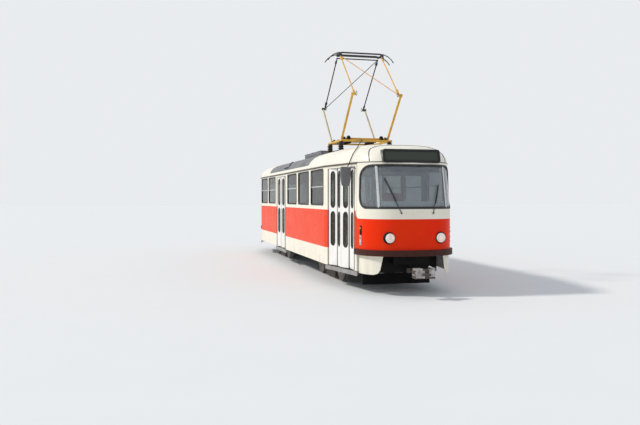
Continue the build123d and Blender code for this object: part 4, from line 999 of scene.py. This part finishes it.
def add_pantograph_arms():
    """Cams on the shafts, and knuckles, clamps and shunt loops on the arms."""
    for end, name, cam, paint in ARM_LOOKS:
        cams, knuckles, clamps, hooks = makers(4)
        lower, upper = f"pantograph_lower_{name}", f"pantograph_upper_{name}"
        for side in (-1, 1):
            shaft = facing(panto_point(end, BASE_OUT, side * CAM_Y, BASE_Z), "X")
            cams.lathe(both_ways([(0.02, 0.045), (cam * 0.7, 0.04), (cam, 0.018)]), shaft, 20)
            knee = facing(panto_point(end, KNEE[0], side * KNEE_Y, KNEE[1]), "X")
            knuckles.lathe(both_ways([(0.02, 0.034), (0.034, 0.031)]), knee, 20)
            for share in (0.065, 0.925):
                steps = (-0.03, -0.018, 0.018, 0.03)
                sleeve = [upper_point(end, side * ARM_Y, share + step) for step in steps]
                clamps.tube(sleeve, [0.016, 0.026, 0.026, 0.016], 12)
            middle = upper_point(end, side * (ARM_Y - 0.035), 0.02) + Vector((end * 0.045, 0, -0.01))
            loop = [middle + Vector((SHUNT_R * math.cos(t), 0, SHUNT_R * math.sin(t))) for t in circle(20)]
            hooks.tube(loop, 0.006, 6, closed=True)
        along = (upper_point(end, 0, 1) - upper_point(end, 0, 0)).normalized()
        for y, share in ((end * ARM_Y, 0.115), (-end * (ARM_Y - 0.009), 0.93)):
            sleeve = [upper_point(end, y, share) + along * step for step in (-0.045, -0.028, 0.028, 0.045)]
            clamps.tube(sleeve, [0.018, 0.032, 0.032, 0.018], 12)
        cams.piece(f"{name}_shaft_cams", "black_paint", lower, 45)
        knuckles.piece(f"{name}_knuckles", paint, lower, 50)
        clamps.piece(f"{name}_arm_clamps", paint, upper, 60)
        hooks.piece(f"{name}_shunt_loops", "pantograph_dark", upper, 60)


def add_pantograph_head():
    """The head's brackets and strip carriers, the front brace's colours and the rope."""
    brackets, wires, rope = makers(3)
    for side in (-1, 1):
        y = side * HEAD_Y
        for x, half in ((PIN[0], 0.045), (-0.10, 0.035)):
            brackets.box(*(panto_point(1, x + half * s, y + 0.026 * s, 5.526 + 0.026 * s) for s in (-1, 1)))
        brackets.tube([panto_point(1, x, y, 5.53) for x in (-STRIP_X, STRIP_X)], 0.013)
    for x in (-STRIP_X, STRIP_X):
        wires.tube([panto_point(1, x, y, 5.548) for y in (-0.5, 0.5)], 0.009, 8)
    brackets.piece("head_brackets", "pantograph_dark", "collector_head", bevel=0.006)
    wires.piece("strip_carriers", "pantograph_dark", "collector_head")
    colour_brace()
    rope.tube([at(*point) for point in ROPE], 0.009, 6)
    rope.piece("pull_rope", "black_paint", angle=60)


def colour_brace():
    """Gives the front upper frame's diagonal its orange and its head pin the head's dark paint."""
    mesh = frame["nodes"]["pantograph_upper_front"].data
    mesh.materials.append(MATERIALS["pantograph_orange"])
    mesh.materials.append(MATERIALS["pantograph_dark"])
    for polygon in mesh.polygons:
        _, ys, zs = zip(*(mesh.vertices[i].co for i in polygon.vertices))
        if min(zs) > PIN[1] + LIFT - 0.03:
            polygon.material_index = 2
        elif max(map(abs, ys)) < ARM_Y - 0.012 or (max(ys) - min(ys) > 0.5 and min(zs) < PIN[1]):
            polygon.material_index = 1


# The roof housing's rear and front, half width and top
HOUSING = (-1.40, 0.70, 0.42, 3.287)
STRAPS_X = (-1.05, -0.35, 0.35)
LOUVRES_Z = (3.175, 3.205, 3.235)
LOUVRE_PITCH = 0.125
LOUVRE_LEAN = math.radians(-35)
RUNG = [
    (-0.66, 1.188, 2.822), (-0.65, 1.222, 2.835), (-0.06, 1.222, 2.835), (0.01, 1.190, 2.885),
    (-0.50, 1.010, 3.020), (-0.53, 0.955, 3.010),
]


def add_roof_trim():
    """The roof housing's lid with its straps, its louvres and the climbing rungs."""
    x0, x1, half, top = HOUSING
    lid, louvres, rungs = makers(3)
    lid.box(at(x0 - 0.012, -half - 0.012, top - 0.006), at(x1 + 0.012, half + 0.012, top + 0.008))
    for x in STRAPS_X:
        lid.box(at(x - 0.015, -half - 0.016, top - 0.02), at(x + 0.015, half + 0.016, top + 0.014))
    for side in (-1, 1):
        for i in range(16):
            x = x0 + 0.06 + LOUVRE_PITCH * i
            for z in LOUVRES_Z:
                louvres.box((x, 0, -0.004), (x + 0.095, 0.012, 0.006), louvre_place(side, half, z))
        rungs.tube([at(x, side * y, z) for x, y, z in RUNG], 0.011, 8)
    lid.piece("housing_lid", "housing_grey", bevel=0.004)
    louvres.piece("housing_louvres", "housing_grey", bevel=0.001, segments=1)
    rungs.piece("roof_rungs", "black_paint", angle=60)


def louvre_place(side, half, z):
    """A slat's frame on the housing's side, leaning down and outward."""
    leaning = Matrix.Translation(at(0, side * half, z)) @ Matrix.Rotation(side * LOUVRE_LEAN, 4, "X")
    return leaning if side > 0 else leaning @ Matrix.Diagonal((1, -1, 1, 1))


WHEELS_X = (4.15, 2.25, -2.25, -4.15)
WHEEL_R = 0.35
HUB_Y = 0.779
BOLT_CIRCLE = 0.115
BOGIE_X = 3.2
COIL_X = 0.26
COIL_Y = 0.54
COIL_Z = (0.625, 0.765)
HUB = [
    (0.30, 0.0), (0.30, 0.003), (0.17, 0.005), (0.16, 0.014), (0.13, 0.016), (0.09, 0.016), (0.085, 0.028),
    (0.03, 0.030),
]
BOLT = [(0.012, 0), (0.012, 0.010), (0.008, 0.013)]
SPRING_PAN = [(0.065, 0), (0.065, 0.010), (0.04, 0.012)]
COUPLER_CASTINGS = [
    ((7.300, -0.215, 0.545), (7.440, -0.060, 0.585)), ((7.410, -0.195, 0.400), (7.445, -0.020, 0.545)),
    ((7.410, 0.070, 0.420), (7.445, 0.195, 0.560)), ((7.250, 0.120, 0.550), (7.400, 0.215, 0.590)),
    ((7.235, -0.205, 0.440), (7.400, 0.205, 0.465)),
]
COUPLER_BOSS = [(0.038, 0), (0.038, 0.022), (0.028, 0.034), (0.012, 0.036)]
COUPLER_PIPE = [(7.33, 0.10, 0.575), (7.37, 0.10, 0.615), (7.41, 0.13, 0.600), (7.425, 0.17, 0.53)]


def add_running_gear():
    """Wheel hubs, bogie springs and the silvered castings of both couplers."""
    for number, x in enumerate(WHEELS_X, 1):
        hubs = Maker()
        for side in (-1, 1):
            place = facing(at(x, side * HUB_Y, WHEEL_R), "X", -side)
            hubs.lathe(HUB, place, 28)
            for turn in circle(8):
                spot = moved(BOLT_CIRCLE * math.cos(turn), BOLT_CIRCLE * math.sin(turn), 0.014)
                hubs.lathe(BOLT, place @ spot, 6)
        hubs.piece(f"wheel_hubs_{number}", "wheel_steel", f"wheelset_{number}", 40)
    for end, name in ((1, "front"), (-1, "rear")):
        coils, cast = makers(2)
        for side, shift in product((-1, 1), (-COIL_X, COIL_X)):
            low, high = (at(end * BOGIE_X + shift, side * COIL_Y, z) for z in COIL_Z)
            coils.tube(helix(low, high, 0.05, 4, 14), 0.011, 6)
            coils.lathe(SPRING_PAN, Matrix.Translation(high), 18)
        coils.piece(f"bogie_springs_{name}", "black_paint", f"bogie_{name}", 60)
        mirror = Matrix.Diagonal((end, 1, 1, 1))
        for low, high in COUPLER_CASTINGS:
            cast.box(at(*low), at(*high), mirror)
        for y in (-0.17, -0.07, 0.12):
            cast.lathe(COUPLER_BOSS, mirror @ facing(at(7.415, y, 0.50), "Y"), 16)
        cast.tube([mirror @ at(*point) for point in COUPLER_PIPE], 0.016)
        cast.piece(f"coupler_castings_{name}", "cast_silver", f"coupler_{name}", bevel=0.005)


SEATS = {
    -0.88: (3.70, 2.95, 2.20, 1.45, 0.70, -2.40, -3.15, -3.90),
    0.88: (3.90, 3.15, 2.40, 1.65, 0.90, 0.15, -0.60, -1.35, -2.10, -2.85, -3.60, -4.35),
}
SEAT_HANDLE = [
    (-0.30, -0.16, 1.725), (-0.30, -0.16, 1.785), (-0.31, -0.13, 1.815), (-0.31, 0.13, 1.815),
    (-0.30, 0.16, 1.785), (-0.30, 0.16, 1.725),
]
HOOD_Z = 1.80
HOOD_STOPS = [(-1, 0.80 - 0.10 * i) for i in range(8)] + [(1, 0.001 + 0.10 * i) for i in range(9)]
HOOD = [(0.02, -0.095), (0.006, 0.070), (-0.03, 0.085), (-0.06, 0.080), (-0.06, 0.07), (0.0, -0.095)]
INSTRUMENTS = [
    ((6.28, -0.30, 1.689), (6.46, 0.05, 1.735)), ((6.30, 0.12, 1.689), (6.44, 0.40, 1.72)),
    ((6.26, -0.62, 1.689), (6.42, -0.38, 1.78)), ((6.30, 0.48, 1.689), (6.42, 0.60, 1.86)),
]

# Step treads' ribs. Columns: the first one's distance inward, height, count
TREADS = [(0.075, 0.399, 13), (0.485, 0.649, 7)]
TREAD_HALF = 0.68
TREAD_PITCH = 0.028

# Ceiling lights: the first one's x, their pitch, half length, distance aside and height
LIGHTS = (-4.6, 1.75, 0.6, 0.45, 3.02)


def add_inside():
    """The driver's hood and instruments, seat handles, ceiling lights, the floor covering and step treads."""
    hood, handles, lights, floor, treads, panel = makers(6)
    hood.on_skin(1, level_route(1, HOOD_Z, HOOD_STOPS), HOOD, -0.10)
    for y, xs in SEATS.items():
        for x in xs:
            handles.tube([at(x + along, y + aside, z) for along, aside, z in SEAT_HANDLE], 0.012, 8)
    start, pitch, half, aside, height = LIGHTS
    for side, i in product((-1, 1), range(6)):
        x = start + pitch * i
        lights.tube([at(x - half, side * aside, height), at(x + half, side * aside, height)], 0.022)
    floor.box(at(-6.1, -0.39, 0.899), at(6.2, 0.39, 0.904))
    floor.box(at(-4.3, 0.39, 0.899), at(4.3, 1.19, 0.904))
    for x, (start, z, count) in product(DOORS.values(), TREADS):
        for i in range(count):
            y = start + TREAD_PITCH * i
            treads.box((-TREAD_HALF, y, z), (TREAD_HALF, y + 0.012, z + 0.005), on_side(x))
    for low, high in INSTRUMENTS:
        panel.box(at(*low), at(*high))
    hood.piece("dash_hood", "dash_pale", angle=40)
    handles.piece("seat_handles", "bright_steel", angle=60)
    lights.piece("ceiling_lights", "lamp_glass", angle=60)
    floor.piece("aisle_covering", "floor_covering", bevel=0.001, segments=1)
    treads.piece("step_treads", "step_aluminium", bevel=0.001, segments=1)
    panel.piece("driver_instruments", "black_paint", bevel=0.006)


for add in (add_window_trim, add_screen_trim, add_door_trim, add_seams, add_body_trim, add_sign_trim,
            add_lamps, add_mirror, add_wipers, add_pantograph_base, add_pantograph_arms,
            add_pantograph_head, add_roof_trim, add_running_gear, add_inside):
    add()

# Camera, from the pinhole fit to the photograph
CAMERA_AT = (19.858, -5.125, 1.932 + LIFT)
CAMERA_YAW = math.radians(-193.7207)
CAMERA_PITCH = math.radians(-1.1595)
SENSOR = 36
CAMERA_LENS = 692.6167 / 640 * SENSOR


def aim(made, direction):
    """Points a camera or a lamp along a direction."""
    made.rotation_euler = Vector(direction).to_track_quat("-Z", "Y").to_euler()


def add_camera():
    data = bpy.data.cameras.new("camera")
    data.lens = CAMERA_LENS
    data.sensor_width = SENSOR
    data.sensor_fit = "HORIZONTAL"
    data.clip_end = 400
    camera = link_object("camera", data)
    camera.location = CAMERA_AT
    flat = math.cos(CAMERA_PITCH)
    aim(camera, (math.cos(CAMERA_YAW) * flat, math.sin(CAMERA_YAW) * flat, math.sin(CAMERA_PITCH)))
    bpy.context.scene.camera = camera


FLOOR_HALF = 200
FLOOR_COLOR = (0.78, 0.78, 0.77)
SUN_COLOR = (1.0, 0.97, 0.92)
SUN_ALONG = (0.16, 0.74, -0.65)
AMBIENT_COLOR = (0.80, 0.86, 0.95)
SKY_COLOR = (0.86, 0.88, 0.90)


def add_stage():
    """A pale floor and a pale sky, with one soft sun from the door side."""
    mesh = bpy.data.meshes.new("floor")
    corners = [(-1, -1), (1, -1), (1, 1), (-1, 1)]
    mesh.from_pydata([(x * FLOOR_HALF, y * FLOOR_HALF, 0) for x, y in corners], [], [(0, 1, 2, 3)])
    floor = link_object("floor", mesh)
    surface = Surface("floor", roughness=0.9)
    surface.set("Color", surface.mix(surface.noise(0.8), FLOOR_COLOR, tuple(c * 0.97 for c in FLOOR_COLOR)))
    mesh.materials.append(surface.material)
    sun = bpy.data.lights.new("sun", "SUN")
    sun.energy = 2.2
    sun.angle = math.radians(6)
    sun.color = SUN_COLOR
    aim(link_object("sun", sun), SUN_ALONG)
    world = bpy.data.worlds.new("world")
    world.use_nodes = True
    bpy.context.scene.world = world
    world.node_tree.nodes.clear()
    sky = Nodes(world.node_tree)
    rays = sky.add("LightPath").outputs
    direct = sky.math("MAXIMUM", rays["Is Camera Ray"], rays["Is Glossy Ray"])
    direct = sky.math("MAXIMUM", direct, rays["Is Transmission Ray"])
    ambient = sky.add("Background", {0: AMBIENT_COLOR, 1: 0.74}).outputs[0]
    seen = sky.add("Background", {0: SKY_COLOR, 1: 0.95}).outputs[0]
    sky.add("OutputWorld", {0: sky.add("MixShader", {0: direct, 1: ambient, 2: seen}).outputs[0]})
    bpy.context.scene.view_settings.view_transform = "Standard"


add_camera()
add_stage()
